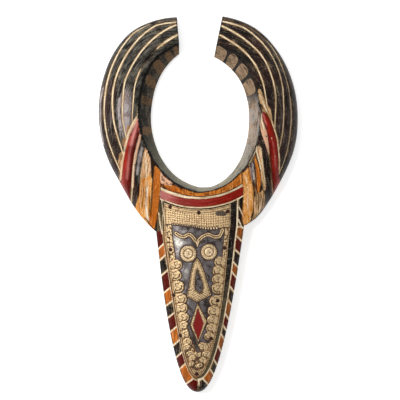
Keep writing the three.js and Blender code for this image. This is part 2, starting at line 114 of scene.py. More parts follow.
def pathDistance(x, y, points):  # distance to a line of straight pieces, and the length along it
    nearest, along, passed = None, None, 0.0
    for start, end in zip(points[:-1], points[1:]):
        distance, run = segmentDistance(x, y, start, end)
        if nearest is None:
            nearest, along = distance, run
        else:
            along = np.where(distance < nearest, passed + run, along)
            nearest = np.minimum(distance, nearest)
        passed += math.hypot(end[0] - start[0], end[1] - start[1])
    return nearest, along


def insidePolygon(x, y, corners):  # distance to the outline, above zero inside
    loop = [*corners, corners[0]]
    distance = pathDistance(x, y, loop)[0]
    inside = np.zeros(x.shape, bool)
    for (ax, ay), (bx, by) in zip(loop[:-1], loop[1:]):
        crosses = (ay > y) != (by > y)
        at = ax + (y - ay) * (bx - ax) / (by - ay if by != ay else 1e-9)
        inside ^= crosses & (x < at)
    return np.where(inside, distance, -distance)


def freehand(points, closed=False, cuts=5):  # a hand-drawn line: rounds off a few given points
    points = np.array(points, float)
    count = len(points)
    if closed:
        before, after = np.roll(points, 1, 0), np.roll(points, -1, 0)
    else:
        before = np.concatenate([points[:1], points[:-1]])
        after = np.concatenate([points[1:], points[-1:]])
    tangent = (after - before) / 2
    drawn = []
    for i in range(count if closed else count - 1):
        j = (i + 1) % count
        for t in np.arange(cuts) / cuts:
            drawn.append(points[i] * (1 - ease(t)) + points[j] * ease(t) + tangent[i] * t * (1 - t) ** 2
                         - tangent[j] * t * t * (1 - t))
    return [tuple(point) for point in drawn] + ([] if closed else [tuple(points[-1])])


def near(x, y, points, reach, measure):  # measures only where the drawn shape can matter, -reach elsewhere
    box = np.array(points)
    close = (x > box[:, 0].min() - reach) & (x < box[:, 0].max() + reach)
    close &= (y > box[:, 1].min() - reach) & (y < box[:, 1].max() + reach)
    value = np.full(x.shape, -float(reach))
    if close.any():
        value[close] = measure(x[close], y[close], points)
    return value


farOut = 6.0  # how far round a drawn shape its distance is measured; minus this stands for nothing drawn


def insideShape(x, y, points):
    return near(x, y, freehand(points, True), farOut, insidePolygon)


def insideStroke(x, y, points, half):
    return near(x, y, freehand(points), farOut, lambda a, b, line: half - pathDistance(a, b, line)[0])


def addObject(name, data):
    made = bpy.data.objects.new(name, data)
    bpy.context.scene.collection.objects.link(made)
    return made


# Camera, floor and light

studio = {
    "middle": (2.4, 5.3),          # point of the mask in the middle of the picture
    "cameraHeight": 4000,
    "lens": 269.7, "sensor": 36,
    "viewDistance": 50000,
    "floorSize": 40000,
    "floorColour": (0.9, 0.9, 0.9, 1),
    "floorGlow": 0.6,              # keeps the shadows faint
    "overhead": 0.12,              # the ceiling over the camera is dark, the screens round it bright
    "ceiling": (0.82, 0.95),       # where the ceiling starts, as a height on the sky
    "horizon": 0.35,               # share of the screens' light that is left at the height of the floor
    "screenFade": (-0.05, 0.6),    # heights on the sky between which the screens get their full light
    "screenLeft": 0.74, "screenRight": 0.52, "screenTurn": 0.7,
    "lamps": [
        {"at": (-850, 250, 1450), "size": 600, "watts": 14},
        {"at": (-200, 1500, 1200), "size": 700, "watts": 8},
    ],
}


def setStage():
    scene = bpy.context.scene
    camera = addObject("camera", bpy.data.cameras.new("camera"))
    camera.location = Vector((*studio["middle"], studio["cameraHeight"])) * mm
    camera.data.lens = studio["lens"]
    camera.data.sensor_width = studio["sensor"]
    camera.data.clip_end = studio["viewDistance"] * mm
    scene.camera = camera

    half = studio["floorSize"] * mm / 2
    corners = [(-half, -half, 0), (half, -half, 0), (half, half, 0), (-half, half, 0)]
    floorMesh = bpy.data.meshes.new("floor")
    floorMesh.from_pydata(corners, [], [(0, 1, 2, 3)])
    floor = addObject("floor", floorMesh)
    finish = newFinish("floorPaint")
    finish.set({"Base Color": studio["floorColour"], "Roughness": 0.9, "Specular IOR Level": 0.1,
                "Emission Color": (1, 1, 1, 1), "Emission Strength": studio["floorGlow"]})
    floor.data.materials.append(finish.owner)

    scene.world = bpy.data.worlds.new("surround")
    air = Finish(scene.world, "Background")
    toRight, _, height = air.parts(air.node("ShaderNodeTexCoord", None, None, "Generated"))
    turn = studio["screenTurn"]
    screens = air.span(toRight, -turn, turn, studio["screenLeft"], studio["screenRight"])
    over = air.step(height, *studio["ceiling"])
    screens = screens * air.span(height, *studio["screenFade"], studio["horizon"], 1.0)
    air.set({"Strength": screens * (1 - over) + over * studio["overhead"], "Color": (1, 1, 1, 1)})
    for lamp in studio["lamps"]:
        light = bpy.data.lights.new("lamp", "AREA")
        light.size = lamp["size"] * mm
        light.energy = lamp["watts"]
        holder = addObject("lamp", light)
        holder.location = Vector(lamp["at"]) * mm
        holder.rotation_euler = (-holder.location).to_track_quat("-Z", "Y").to_euler()
    scene.view_settings.view_transform = "Standard"
    print("stage set")


# Shader maths

class Thread:  # one output of a node, so that maths on it reads as arithmetic
    def __init__(self, finish, socket):
        self.finish = finish
        self.socket = socket

    def maths(self, operation, first, second):
        return self.finish.node("ShaderNodeMath", {"operation": operation}, {0: first, 1: second})

    def __add__(self, other):
        return self.maths("ADD", self, other)

    def __radd__(self, other):
        return self.maths("ADD", other, self)

    def __sub__(self, other):
        return self.maths("SUBTRACT", self, other)

    def __rsub__(self, other):
        return self.maths("SUBTRACT", other, self)

    def __mul__(self, other):
        return self.maths("MULTIPLY", self, other)

    def __rmul__(self, other):
        return self.maths("MULTIPLY", other, self)

    def __truediv__(self, other):
        return self.maths("DIVIDE", self, other)

    def __rtruediv__(self, other):
        return self.maths("DIVIDE", other, self)


class Finish:  # the nodes of a material or of the world, built up in front of its shader
    def __init__(self, owner, shader):
        owner.use_nodes = True
        self.owner = owner
        self.tree = owner.node_tree
        self.shader = self.tree.nodes[shader]
        self.hues = {}
        self.grains = {}

    def plug(self, socket, value):
        if isinstance(value, Thread):
            self.tree.links.new(value.socket, socket)
        else:
            socket.default_value = value

    def node(self, kind, settings=None, inputs=None, output=0):
        made = self.tree.nodes.new(kind)
        for name, value in (settings or {}).items():
            setattr(made, name, value)
        for name, value in (inputs or {}).items():
            self.plug(made.inputs[name], value)
        return Thread(self, made.outputs[output])

    def set(self, sockets):
        for name, value in sockets.items():
            self.plug(self.shader.inputs[name], value)

    def mix(self, low, high, share):
        return self.node("ShaderNodeMix", {"data_type": "RGBA"}, {0: share, 6: low, 7: high}, 2)

    def span(self, value, fromLow, fromHigh, low, high):
        return self.node("ShaderNodeMapRange", {"interpolation_type": "SMOOTHSTEP"},
                         {0: value, 1: fromLow, 2: fromHigh, 3: low, 4: high})

    def step(self, value, low, high):
        return self.span(value, low, high, 0.0, 1.0)

    def field(self, name):
        return self.node("ShaderNodeAttribute", {"attribute_name": name}, None, "Fac")

    def place(self):
        return self.node("ShaderNodeTexCoord", None, None, "Object")

    def parts(self, vector):  # x, y and z of a vector
        split = self.node("ShaderNodeSeparateXYZ", None, {0: vector}).socket.node
        return [Thread(self, socket) for socket in split.outputs]

    def grain(self, vector, scale, detail, roughness):
        return self.node("ShaderNodeTexNoise", {"noise_dimensions": "3D"},
                         {"Vector": vector, "Scale": scale, "Detail": detail, "Roughness": roughness})

    def noise(self, size, detail):  # size in mm
        return self.grain(self.place(), 1 / (size * mm), detail, 0.55)

    def streaks(self, along, across, length, width):  # noise drawn out along one direction
        vector = self.node("ShaderNodeCombineXYZ", None, {0: along / length, 1: across / width, 2: 0.0})
        return self.step(self.grain(vector, 1.0, 3.0, 0.6), 0.3, 0.7)

    def hue(self, colour):
        return self.hues[colour] if isinstance(colour, str) else colour

    def coats(self, base, *layers):  # colours laid over one another, each with its share
        base = self.hue(base)
        for colour, share in layers:
            base = self.mix(base, self.hue(colour), share)
        return base

    def stir(self, value, **strengths):  # makes a value uneven by the grains named
        for name, strength in strengths.items():
            value = value + (self.grains[name] - 0.5) * strength
        return value

    def bump(self, height, distance, normal=None):
        inputs = {"Height": height, "Distance": distance * mm, "Strength": 1.0}
        if normal:
            inputs["Normal"] = normal
        return self.node("ShaderNodeBump", None, inputs)


def newFinish(name, hues=None, grains=None):  # grains: size in mm and detail of each noise
    finish = Finish(bpy.data.materials.new(name), "Principled BSDF")
    finish.hues = hues or {}
    finish.grains = {grain: finish.noise(*values) for grain, values in (grains or {}).items()}
    return finish


def palette(colours):  # colours as they look on a screen, 0 to 255
    def linear(level):
        level = level / 255
        return level / 12.92 if level <= 0.04045 else ((level + 0.055) / 1.055) ** 2.4
    return {name: (*(linear(level) for level in levels), 1) for name, levels in colours.items()}


# Meshes are woven from grids of points, each with its paint values

class Weave:
    def __init__(self, fields):
        self.defaults = fields
        self.points = []
        self.values = {name: [] for name in fields}
        self.faces = []
        self.count = 0

    def add(self, points, fields):
        flat = points.reshape(-1, 3)
        index = self.count + np.arange(len(flat)).reshape(points.shape[:-1])
        self.points.append(flat)
        for name, default in self.defaults.items():
            value = np.broadcast_to(fields.get(name, default), points.shape[:-1])
            self.values[name].append(np.asarray(value, float).reshape(-1))
        self.count += len(flat)
        return index

    def grid(self, points, fields, turned=False):
        index = self.add(points, fields)
        corners = [index[:-1, :-1], index[1:, :-1], index[1:, 1:], index[:-1, 1:]]
        if turned:
            corners.reverse()
        self.faces.extend(np.stack(corners, -1).reshape(-1, 4).tolist())
        return index

    def fill(self, points, fields, turned=False):  # one flat face through a loop of points
        index = self.add(points, fields).tolist()
        self.faces.append(index[::-1] if turned else index)

    def build(self, name, weld=0.004):  # the object, with points closer than the weld made one
        mesh = bpy.data.meshes.new(name)
        mesh.from_pydata((np.concatenate(self.points) * mm).tolist(), [], self.faces)
        for field, values in self.values.items():
            layer = mesh.attributes.new(field, "FLOAT", "POINT")
            layer.data.foreach_set("value", np.concatenate(values).astype(np.float32))
        work = bmesh.new()
        work.from_mesh(mesh)
        bmesh.ops.remove_doubles(work, verts=work.verts, dist=weld * mm)
        bmesh.ops.recalc_face_normals(work, faces=work.faces)
        work.to_mesh(mesh)
        work.free()
        mesh.shade_smooth()
        print(name, "woven:", sum(len(face.vertices) - 2 for face in mesh.polygons), "triangles")
        return addObject(name, mesh)


# Shape of the wood

ring = {"x": 1.1, "y": 114.4}
leftHorn = {
    "side": -1,
    # painted highlights: kind, half width, strength, line; sheen is a pale or pink highlight on the paint,
    # the other kind a lilac grey highlight on the black
    "sheen": [
        ("sheen", 2.6, 1.1, [(-79.5, 113), (-82.3, 107), (-87.3, 88), (-89.5, 79)]),
        ("sheen", 1.9, 0.7, [(-88.5, 83), (-91.5, 69), (-93.5, 50), (-95, 34)]),
        ("sheen", 1.3, 1.2, [(-68.3, 21), (-68.3, 9.5), (-69.5, -1.4), (-68.3, -13.5), (-66.2, -20.8)]),
        ("sheen", 1.2, 0.8, [(-70.5, 68), (-69.6, 52), (-68.6, 36)]),
        ("sheen", 0.9, 0.7, [(-74.2, 28), (-75.5, 10), (-77.5, -5)]),
        ("sheen", 0.8, 0.6, [(-65.6, 55), (-64.8, 42)]),
        ("rubbed", 2.1, 0.8, [(-75.1, 74.9), (-77.7, 64), (-79.9, 53), (-81.6, 39.8)]),
        ("sheen", 1.2, 0.6, [(-79.4, 108), (-79, 101), (-79.6, 97)]),
        ("rubbed", 1.3, 1.0, [(-127, 154.4), (-130.2, 138.4), (-130.9, 125), (-130.5, 109), (-129.2, 94.5),
            (-126.4, 80)]),
        ("rubbed", 1.7, 1.3, [(-103.2, 100), (-105.6, 118), (-106, 129), (-104.8, 141)]),
    ],
    # painted lilac grey highlight on the black: x, y, half sizes, strength
    "rubbed": [(-97, 120, 10, 38, 0.95), (-116, 130, 4, 40, 0.45)],
    # how much slate grey shows; on this horn much of it stands for painted sheen from the lamp on the left
    "slate": 0.5, "outerSlate": -0.4,
    # lighter and darker places: how light, half width, line; across this red band the half towards the lamp
    # is painted lighter and the other half painted in shade
    "lights": [
        (0.2, 2.6, [(-80, 96), (-84, 80), (-87.5, 62), (-90, 40), (-93, 15)]),
        (0.62, 2.6, [(-90, 92), (-95, 80), (-98, 64), (-99.5, 45), (-103, 24)]),
    ],
    "outer": [(20.5, 161.6), (30, 152.5), (40, 143.1), (50, 136.2), (62, 133.4), (90, 133.5), (110, 137.5),
        (130, 143.8), (142, 146), (156, 142.4), (168, 137.6)],
    "crease": [(0, 98.8), (20, 92.5), (40, 85), (60, 80.5), (80, 80), (100, 82), (120, 88), (140, 97),
        (168, 102.5)],
    "hole": [(0, 91.9), (20, 83.9), (40, 74.6), (60, 67.6), (85, 64.2), (110, 66.2), (130, 72.9),
        (165, 90.7)],
    # each band of the cheek and the horn: angle on the outer edge, angle on the crease, cuts across it
    "bands": [(20.5, 36, 12), (23.5, 44, 34), (36, 62, 14), (39.5, 71, 8), (41.5, 75.5, 24),
        (51.5, 86.5, 12), (56, 93, 160)],
    "tip": (167.5, 164.9, 162.6),
    "grooves": [
        [(0, 148), (22, 147), (58, 125.4), (80, 124.3), (100, 127.3), (120, 133.6), (134, 139.2),
            (150, 143.6), (168, 138)],
        [(0, 134), (24, 133), (67, 110.8), (90, 113.4), (110, 120.2), (130, 126.8), (150, 134), (168, 137)],
        [(0, 119.4), (27, 117), (74, 100), (92, 101.3), (104, 103.8), (116, 108.9), (128, 112.1),
            (140, 116.5), (152, 121.6), (168, 127.4)],
        [(0, 106), (28, 102), (86, 88.4), (104, 89.5), (116, 94.4), (128, 99.3), (152, 108), (165, 113)],
    ],
    # half width of the cream line in each groove, by angle; below zero where it has worn away
    "lines": [
        [(50, 1.0), (110, 1.1), (135, 0.9), (146, 0.6), (151, 0.2), (156, -0.6), (168, -0.6)],
        [(60, 1.2), (90, 1.3), (130, 1.1), (150, 1.0), (168, 1.0)],
        [(60, 1.2), (90, 1.2), (120, 1.2), (150, 1.1), (168, 1.2)],
        [(60, 1.2), (100, 1.2), (127, 1.0), (132, -0.4), (146, -0.6), (150, 1.0), (158, 1.6), (168, 1.2)],
    ],
    # where the cheek meets the horn, from the crease down to the outer edge
    "meeting": [(-77.7, 123.3), (-80.8, 117.8), (-85, 111.8), (-88.6, 105.7), (-92.3, 96.7), (-95.3, 87),
        (-97.7, 77.3), (-100.7, 59.1), (-102, 49.4), (-103.8, 32.5), (-105.6, 25)],
    # shapes on the cheek: paint, how it is carved, how high or deep, how light, outline
    "shapes": [
        ("tan", "flat", 0, 0.3, [(-105.5, 66), (-100.4, 68.5), (-101.5, 50), (-103, 38), (-106.5, 49)]),
        ("tan", "flat", 0, 0.2, [(-95.6, 102.5), (-90, 105), (-91.5, 95), (-94.5, 90)]),
        ("tan", "flat", 0, 0.2, [(-101, 87), (-96.6, 88), (-98.6, 76), (-101, 79)]),
        ("red", "roof", 3.0, 0.45, [(-79.9, 114.8), (-77.9, 106), (-77.7, 96.7), (-79.6, 90.6), (-82, 83.3),
            (-84.4, 73.7), (-86, 64), (-87.2, 54.3), (-88.4, 44.6), (-89.2, 34.9), (-90.1, 25.2),
            (-91, 9.5), (-91.5, 2), (-108, 26), (-102.8, 31), (-101, 47), (-99.5, 57.9), (-97.8, 67.6),
            (-95.4, 77.3), (-92.6, 87), (-89, 95.4), (-84.4, 105.1)]),
        ("pink", "flat", 0, 1.0, [(-78.3, 117.2), (-77.4, 107.5), (-78.6, 98), (-80.8, 98.5), (-80.6, 105),
            (-84.2, 108.3), (-80.8, 114.8)]),
        ("", "flute", 1.6, 0.5, [(-76.5, 92), (-72.8, 80), (-73.5, 64), (-76.6, 44), (-79, 20), (-82, -6),
            (-91, 3), (-88, 24), (-85.5, 45), (-82.5, 66), (-79, 82)]),
        ("orange", "furrows", 2.4, 0.7, [(-69.9, 76.5), (-66.2, 70.5), (-63.8, 56), (-62.5, 39.3),
            (-61, 33.9), (-61.7, 18.6), (-63.5, -7.8), (-64.8, -28), (-69.5, -28), (-84.5, -9.4),
            (-79.6, 11.9), (-77.9, 30.6), (-74.7, 56), (-72.2, 71.8)]),
        ("tan", "flat", 0, 0.7, [(-69.9, 76.5), (-65.8, 70.5), (-63.5, 56), (-62.5, 41), (-69.5, 36),
            (-77, 34), (-74.7, 56), (-72.2, 71.8)]),
        ("orange", "flute", 1.6, 0.2, [(-58.5, 51), (-53.5, 49.5), (-50.2, 43.9), (-49.5, 36.8),
            (-50.1, 24.2), (-51.5, 5), (-54.1, -14), (-55.9, -24.3), (-60.2, -37.4), (-66.8, -29.4),
            (-63, -7.8), (-61, 18.6), (-60, 34.3)]),
        ("dark", "groove", 1.6, 0.5, [(-64.4, 68.5), (-53.5, 54.5), (-57.5, 50.8), (-58.9, 47.9),
            (-60.7, 32.6), (-62.5, 39.2), (-63.5, 55.9)]),
    ],
    "strokes": [
        ("cream", 1.0, [(-77.7, 123.3), (-80.8, 117.8), (-85, 111.8), (-88.6, 105.7), (-92.3, 96.7),
            (-95.3, 87)]),
        ("pink", 1.6, [(-82.5, 113), (-87.4, 105.5), (-91.2, 96.5), (-94.4, 87), (-97, 77.3),
            (-100.3, 59.1), (-101.8, 49.4), (-103.6, 32.5)]),
        ("cream", 0.6, [(-94, 91), (-97.7, 77.3), (-100.7, 59.1), (-102, 49.4), (-103.8, 32.5)]),
        ("tan", 1.1, [(-81, 117.5), (-80.4, 126), (-79.8, 133)]),
        ("pink", 1.5, [(-76.4, 95.4), (-78.4, 85.8), (-80.8, 77.3), (-83.2, 67.6), (-85, 56.7),
            (-86.4, 45.8), (-87.2, 34.9), (-87.7, 22.8)]),
        ("cream", 0.7, [(-83.8, 67.6), (-85.4, 56.7), (-86.7, 45.8), (-87.4, 34.9), (-87.9, 22.8),
            (-88.6, 13.1), (-89.3, 3)]),
        ("pink", 0.8, [(-65, 64), (-64, 54), (-63.4, 44)]),
        ("tan", 0.8, [(-51.2, 246.5), (-49.3, 252.6), (-45.5, 259.3), (-40.5, 265)]),
        ("tan", 1.9, [(-68.4, 29), (-69.2, 16), (-70.2, 0), (-68.8, -13), (-67, -25)]),
        ("dark", 0.5, [(-64.6, 10), (-65, -2), (-66, -16)]),
        ("dark", 0.4, [(-72.8, 22), (-73.6, 8), (-74.5, -4)]),
        # painted shade along the lower edge of the cheek, where it rounds down
        ("dark", 0.6, [(-71, -18.5), (-66, -25), (-58.5, -36.5)]),
    ],
}
rightHorn = {
    "side": 1,
    # painted highlights, as on the left horn
    "sheen": [
        ("rubbed", 2.0, 0.9, [(72.2, 53), (72.8, 44), (74.2, 34)]),
        ("sheen", 1.6, 0.6, [(63, 38), (65.5, 20), (65.8, 2), (66.5, -14)]),
        ("sheen", 1.3, 0.7, [(86.4, 121), (88, 115), (90.6, 106)]),
        ("sheen", 1.0, 0.7, [(84.5, 6), (83.5, -4), (80, -12)]),
        ("sheen", 0.9, 0.5, [(98, 88), (101.5, 70), (103, 50)]),
    ],
    # painted lilac grey highlight, then the amount of slate grey; this horn gets no painted sheen
    "rubbed": [(112, 110, 5, 40, 0.3)],
    "slate": -0.15, "outerSlate": -0.15,
    "lights": [
        (0.15, 1.4, [(88, 109), (93.4, 88), (96, 68), (98, 44), (100, 24)]),
        (0.55, 2.0, [(92, 112), (98, 96), (101, 78), (102.5, 60)]),
    ],
    "outer": [(23.1, 155.5), (30, 153), (40, 144.8), (50, 138.3), (60, 135), (75, 133), (90, 131.5),
        (110, 133.4), (130, 137.5), (148, 141.2), (167, 139.2)],
    "crease": [(0, 98.8), (20, 96), (40, 90), (60, 84.5), (80, 81), (100, 81), (120, 86), (140, 94),
        (167, 100.5)],
    "hole": [(0, 91.9), (10, 92.5), (20, 89.6), (40, 80.2), (60, 71.9), (85, 66.7), (110, 68.6),
        (130, 73.6), (166, 84)],
    "bands": [(23.1, 40, 14), (29.5, 46, 26), (36.5, 64, 20), (44, 80, 8), (45.5, 86, 22), (54, 94, 12),
        (57.5, 98, 156)],
    "tip": (166.9, 166.4, 165.9),
    "grooves": [
        [(0, 146), (24, 143), (58, 128.4), (80, 122.6), (100, 123), (110, 125.4), (122, 129.4),
            (134, 134.8), (145, 140), (167, 139.2)],
        [(0, 133), (26, 131), (68, 114), (85, 111.7), (98, 113), (110, 117.5), (122, 122.9), (134, 127.8),
            (146, 131.5), (158, 134.2), (167, 135.8)],
        [(0, 119.4), (30, 118), (82, 100.7), (94, 101.2), (110, 106.6), (122, 111.3), (134, 116.2),
            (146, 118.9), (158, 122.2), (167, 125.4)],
        [(0, 107), (30, 107.5), (89, 95.5), (98, 91.4), (104, 91.4), (122, 97.2), (134, 102), (146, 105.8),
            (158, 109.5), (167, 113.1)],
    ],
    "lines": [
        [(50, 0.8), (90, 0.6), (100, 0.4), (115, 0.3), (125, 0.4), (135, 0.4), (142, -0.4), (167, -0.6)],
        [(60, 0.9), (100, 0.8), (116, 0.6), (128, 0.65), (140, 1.0), (167, 1.15)],
        [(60, 1.0), (110, 1.0), (128, 0.95), (134, 1.15), (167, 1.2)],
        [(60, 1.0), (110, 1.1), (140, 1.2), (167, 1.1)],
    ],
    "meeting": [(86.5, 128.5), (93.4, 119.3), (98.3, 109.6), (101.9, 98.7), (104.9, 89), (106.5, 78.1),
        (107.6, 66), (108.1, 54), (108, 42), (110, 18)],
    "shapes": [
        ("red", "roof", 3.0, 0.45, [(86.8, 123.2), (90.4, 121.1), (94.6, 114.4), (97.7, 107.2),
            (100.7, 98.7), (103.3, 90.2), (105.2, 80.6), (106.7, 68.4), (107.5, 56.3), (107.5, 44.2),
            (109.5, 20), (103.6, 6), (100.1, 20), (98.9, 32.1), (97.7, 44.2), (96.5, 56.3), (95.2, 68.4),
            (94, 78.1), (92.8, 87.8), (91.6, 96.3), (89.8, 103.6), (86.8, 110.8), (85, 119.3)]),
        ("", "flute", 1.6, 0.5, [(82.6, 100), (86.5, 86), (90, 70), (92.5, 56), (94.5, 40), (96.5, 20),
            (98, 5), (90, -3), (90, 25), (88, 50), (85, 70), (82, 82)]),
        ("pink", "flat", 0, 1.0, [(83.5, 119.9), (86, 112), (88.6, 104.8), (91.2, 96.3), (93.2, 87.8),
            (94.6, 78.1), (95, 66), (91.6, 73.3), (89.2, 81.8), (86.2, 90.2), (83.8, 98.7), (82.4, 108.4)]),
        ("tan", "flute", 1.2, 0.75, [(80.7, 77.2), (84.4, 73.3), (85.2, 62.4), (86.8, 50.3), (88.3, 38.2),
            (90, 26.1), (90, 18.8), (86.8, 20), (84.7, 32.1), (83.1, 44.2), (81.1, 56.3), (78.9, 63.6),
            (76.7, 70.9), (77.7, 75.1)]),
        ("orange", "flute", 1.4, 0.3, [(75.3, 66), (79.5, 56.3), (82.5, 44.2), (84, 32.1), (82.8, 20),
            (81.3, 14), (78.9, 15.2), (77.7, 24.9), (77.4, 38.2), (76.2, 49.1), (74.7, 58.8)]),
        ("orange", "finger", 1.6, 0.8, [(58.9, 40.6), (63.2, 45.5), (67, 49.5), (69.4, 41.8), (71, 32.1),
            (73.5, 24.9), (74.3, 15.2), (74.1, 1.9), (73.5, -9), (71.4, -17.5), (69, -27), (64.4, -33),
            (58.3, -23), (58.9, -4.2), (60.1, 14), (59.5, 29.7)]),
        ("tan", "furrows", 1.4, 0.5, [(75.5, 24), (79, 15), (82.8, 15.5), (86.8, 19), (88.7, 10),
            (88.3, -5), (79.6, -18.7), (71, -27.5), (74.5, -10.7), (75, 5)]),
        ("", "groove", 1.4, 0.8, [(70.4, 57.6), (74.7, 58), (76, 49), (77.2, 38), (77.4, 26), (74.1, 20),
            (70.4, 32), (68.4, 47)]),
        ("tan", "flat", 0, 0.5, [(79.9, 152.4), (83.5, 152), (87, 143), (90.5, 134.5), (96.5, 126.6),
            (98.3, 110.8), (91, 120.5), (86.2, 122.9), (83.5, 131.4), (80.5, 141)]),
    ],
    "strokes": [
        ("tan", 0.9, [(86.5, 128.5), (93.4, 119.3), (98.3, 109.6), (101.9, 98.7), (104.9, 89),
            (106.5, 78.1), (107.6, 66), (108.1, 54), (108, 40)]),
        ("cream", 0.5, [(98.3, 109.6), (101.9, 98.7), (104.9, 89), (106.5, 78.1), (107.6, 66), (108.1, 54),
            (108, 44)]),
        ("cream", 1.0, [(83.9, 120), (84.3, 114), (86, 106), (88, 99)]),
        ("tan", 0.7, [(82.9, 106), (84.6, 98), (87.6, 88.5), (90.2, 80)]),
        ("tan", 0.5, [(93.7, 71), (95.2, 60), (96.4, 48), (97.6, 36), (99, 22), (101, 8)]),
        ("cream", 0.8, [(77.8, 73), (79.4, 64.5), (81.8, 56), (83.6, 46)]),
        ("cream", 0.5, [(84.2, 72), (85.4, 60), (87.3, 45), (89.4, 28)]),
        ("cream", 0.9, [(77.2, 72), (78.4, 75.8), (81, 77), (83.8, 74)]),
        ("cream", 0.6, [(75.9, 70), (73, 62), (70, 57), (67.5, 51)]),
        ("pink", 0.5, [(68.6, 50), (70, 40), (72, 30)]),
        ("tan", 0.45, [(74.6, 44), (75.8, 34), (76.2, 26)]),
        ("cream", 0.8, [(82, 146), (87, 134), (92, 123)]),
        ("dark", 1.3, [(81.4, 74.6), (81.6, 74.2)]),
        ("dark", 0.7, [(70.4, -17.5), (72.4, -15), (74, -11)]),
        ("dark", 1.1, [(83.6, 133), (84.6, 130), (87, 127)]),
        ("dark", 0.5, [(79.5, 15), (80.5, 4), (80, -8)]),
        # painted shade along the lower edge of the cheek, where it rounds down
        ("dark", 0.8, [(62, -28.6), (69.2, -25.2), (77, -18.6), (84.9, -9.5), (92, 0.6)]),
        ("pink", 0.5, [(74.2, 2), (75.4, -6), (75.8, -13)]),
        ("red", 0.8, [(75.6, 23), (76.6, 22)]),
        ("cream", 0.7, [(97.8, 87.9), (98, 87.5)]),
        ("cream", 0.7, [(102.6, 63.6), (102.8, 63.2)]),
    ],
}
carving = {
    "bow": 0.4,              # how far a band line bends from straight towards a spiral
    "grooveHalf": 1.3, "grooveDepth": 1.3, "crown": 1.1, "headGrooveDepth": 0.9,
    "fluteColumns": (8, 8, 8, 8, 7), "grooveOffsets": (-1, -0.62, -0.3, 0, 0.3, 0.62, 1),
    "edgeHeight": 10, "edgeTuck": 4, "flankRound": 1.6, "endBevel": 0.7, "endSlant": 0.35,
    "wallFoot": 7, "wallEdge": 3.5, "scallop": 17, "scallopDepth": 1.0,
    "tipStart": 150,         # from this angle on, the hole's edge runs to the corner of the horn's cut end
    "crest": [(0, 44), (60, 46), (100, 46), (130, 42), (168, 34)],
    "roofReach": 5.2, "fingerReach": 5, "hollowReach": 4, "cutReach": 1.4, "furrowPitch": 4.2,
    "slateShare": (0.46, 0.36), "slateDegrees": (122, 108),   # the outer part with its own amount of slate grey and painted sheen
    "sideRows": 5, "wallRows": 14, "backRows": 12,
}
face = {
    "tipY": -250, "span": 200,
    # loops round the face: how far the tip is from the muzzle; half width, power and bulge of each side
    "outline": {"tip": 0, -1: (57.4, 0.45, 0), 1: (54.9, 0.45, 0)},
    "frameLine": {"tip": 18.6, -1: (48, 0.49, -2.4), 1: (45, 0.44, 1.2)},
    "plateEdge": {"tip": 21.4, -1: (46.4, 0.47, -2.4), 1: (36.9, 0.47, 2.4)},
    "centre": (-0.9, 4), "notch": {-1: 213, 1: 221.7},
    # rows climb on their way inwards: distance up the outline, distance where they meet the other loops
    "rowLift": [(0, 18), (11, 19.5), (20, 28.5)], "lift": 8.5, "liftEnd": 18,
    "spine": (16, 40, 0.28), "edge": (14, 24), "round": 3, "tuck": 0.95,
    "rows": 250, "columns": (11, 7, 24, 7, 11),
    "panelDegrees": (-32, 27), "frameDegrees": (-34, 34),
}
arcs = {   # painted arcs over the face, as radii about the middle of the ring
    "outer": 120.4, "degrees": 41,
    "outerLine": 119.3, "outerHalf": 1.0, "innerLine": 106.5, "innerHalf": (1.25, 1.7),
    "red": (107.9, 118.6), "redStart": 107, "redCrown": (113, 5.6, 0.9), "crownDegrees": 37,
    "orangeTop": 104.7, "darkLine": 104.8, "darkHalf": 0.35, "rough": (105, 103),
}
border = {
    # where the blocks part on the outline, on the left and on the right
    -1: [-60, -75, -95, -118, -135.5, -151.5, -170, -188, -204, -219.5, -239],
    1: [-31, -49.5, -67, -84, -97.5, -116.5, -134, -153, -168, -180, -196, -214, -226.5, -240],
    "colours": {-1: "r o k r o k r o k r o r".split(), 1: "k o r k o r k o r k o r k o k".split()},
    "top": {-1: -36, 1: -18}, "creamHalf": 1.1, "cut": 0.7, "pillow": 0.8,
    "middleLine": {"x": 0.6, "half": 1.2, "top": -231},
    # cream line on the frame: how wide, where across it, up to which y; then the tan and the olive
    "frameLine": {-1: (1.6, 1.06, -14), 1: (1.3, 1, 8)}, "tanTop": -30, "oliveTop": -90, "oliveFull": -150,
    # thin lines in the two notches between face and cheek
    "notchLines": [("cream", 0.7, [(-52.7, -12), (-50.7, -27), (-48.2, -40)]),
                   ("cream", 0.5, [(-49.6, 12), (-47.9, -2), (-46, -14), (-43.8, -30)]),
                   ("cream", 0.9, [(54.3, -4), (60.6, -16.8)]),
                   ("cream", 0.9, [(53.7, -20.7), (58.9, -32.4)]),
                   ("dark", 0.5, [(-50.6, 8), (-49.6, -6), (-48, -22), (-46, -36)])],
    "notchFill": [("olive", [(-50.2, 24), (-46.9, 9), (-44.5, -14), (-42, -38), (-47.5, -39), (-55, -37),
                             (-62, -35), (-55.5, -24), (-53.5, -13), (-50.9, 5)]),
                  ("pink", [(-50.8, 43), (-46.2, 37), (-39, 31.5), (-34, 28), (-36, 24), (-43, 25.5),
                            (-49.5, 27.5)])],
}


def onRing(side, degrees, radius):
    angle = np.radians(degrees)
    return np.stack([ring["x"] + side * radius * np.sin(angle), ring["y"] - radius * np.cos(angle)], -1)


def polarOf(points):
    dx, dy = points[..., 0] - ring["x"], ring["y"] - points[..., 1]
    return np.degrees(np.arctan2(np.abs(dx), dy)), np.hypot(dx, dy)


def alongRing(side, degrees, radius):
    return side * degrees * radius * math.pi / 180


crestAt = through(carving["crest"])
for horn in (leftHorn, rightHorn):
    for name in ("outer", "crease", "hole"):
        horn[name + "At"] = through(horn[name])
    horn["groovesAt"] = [through(groove) for groove in horn["grooves"]]


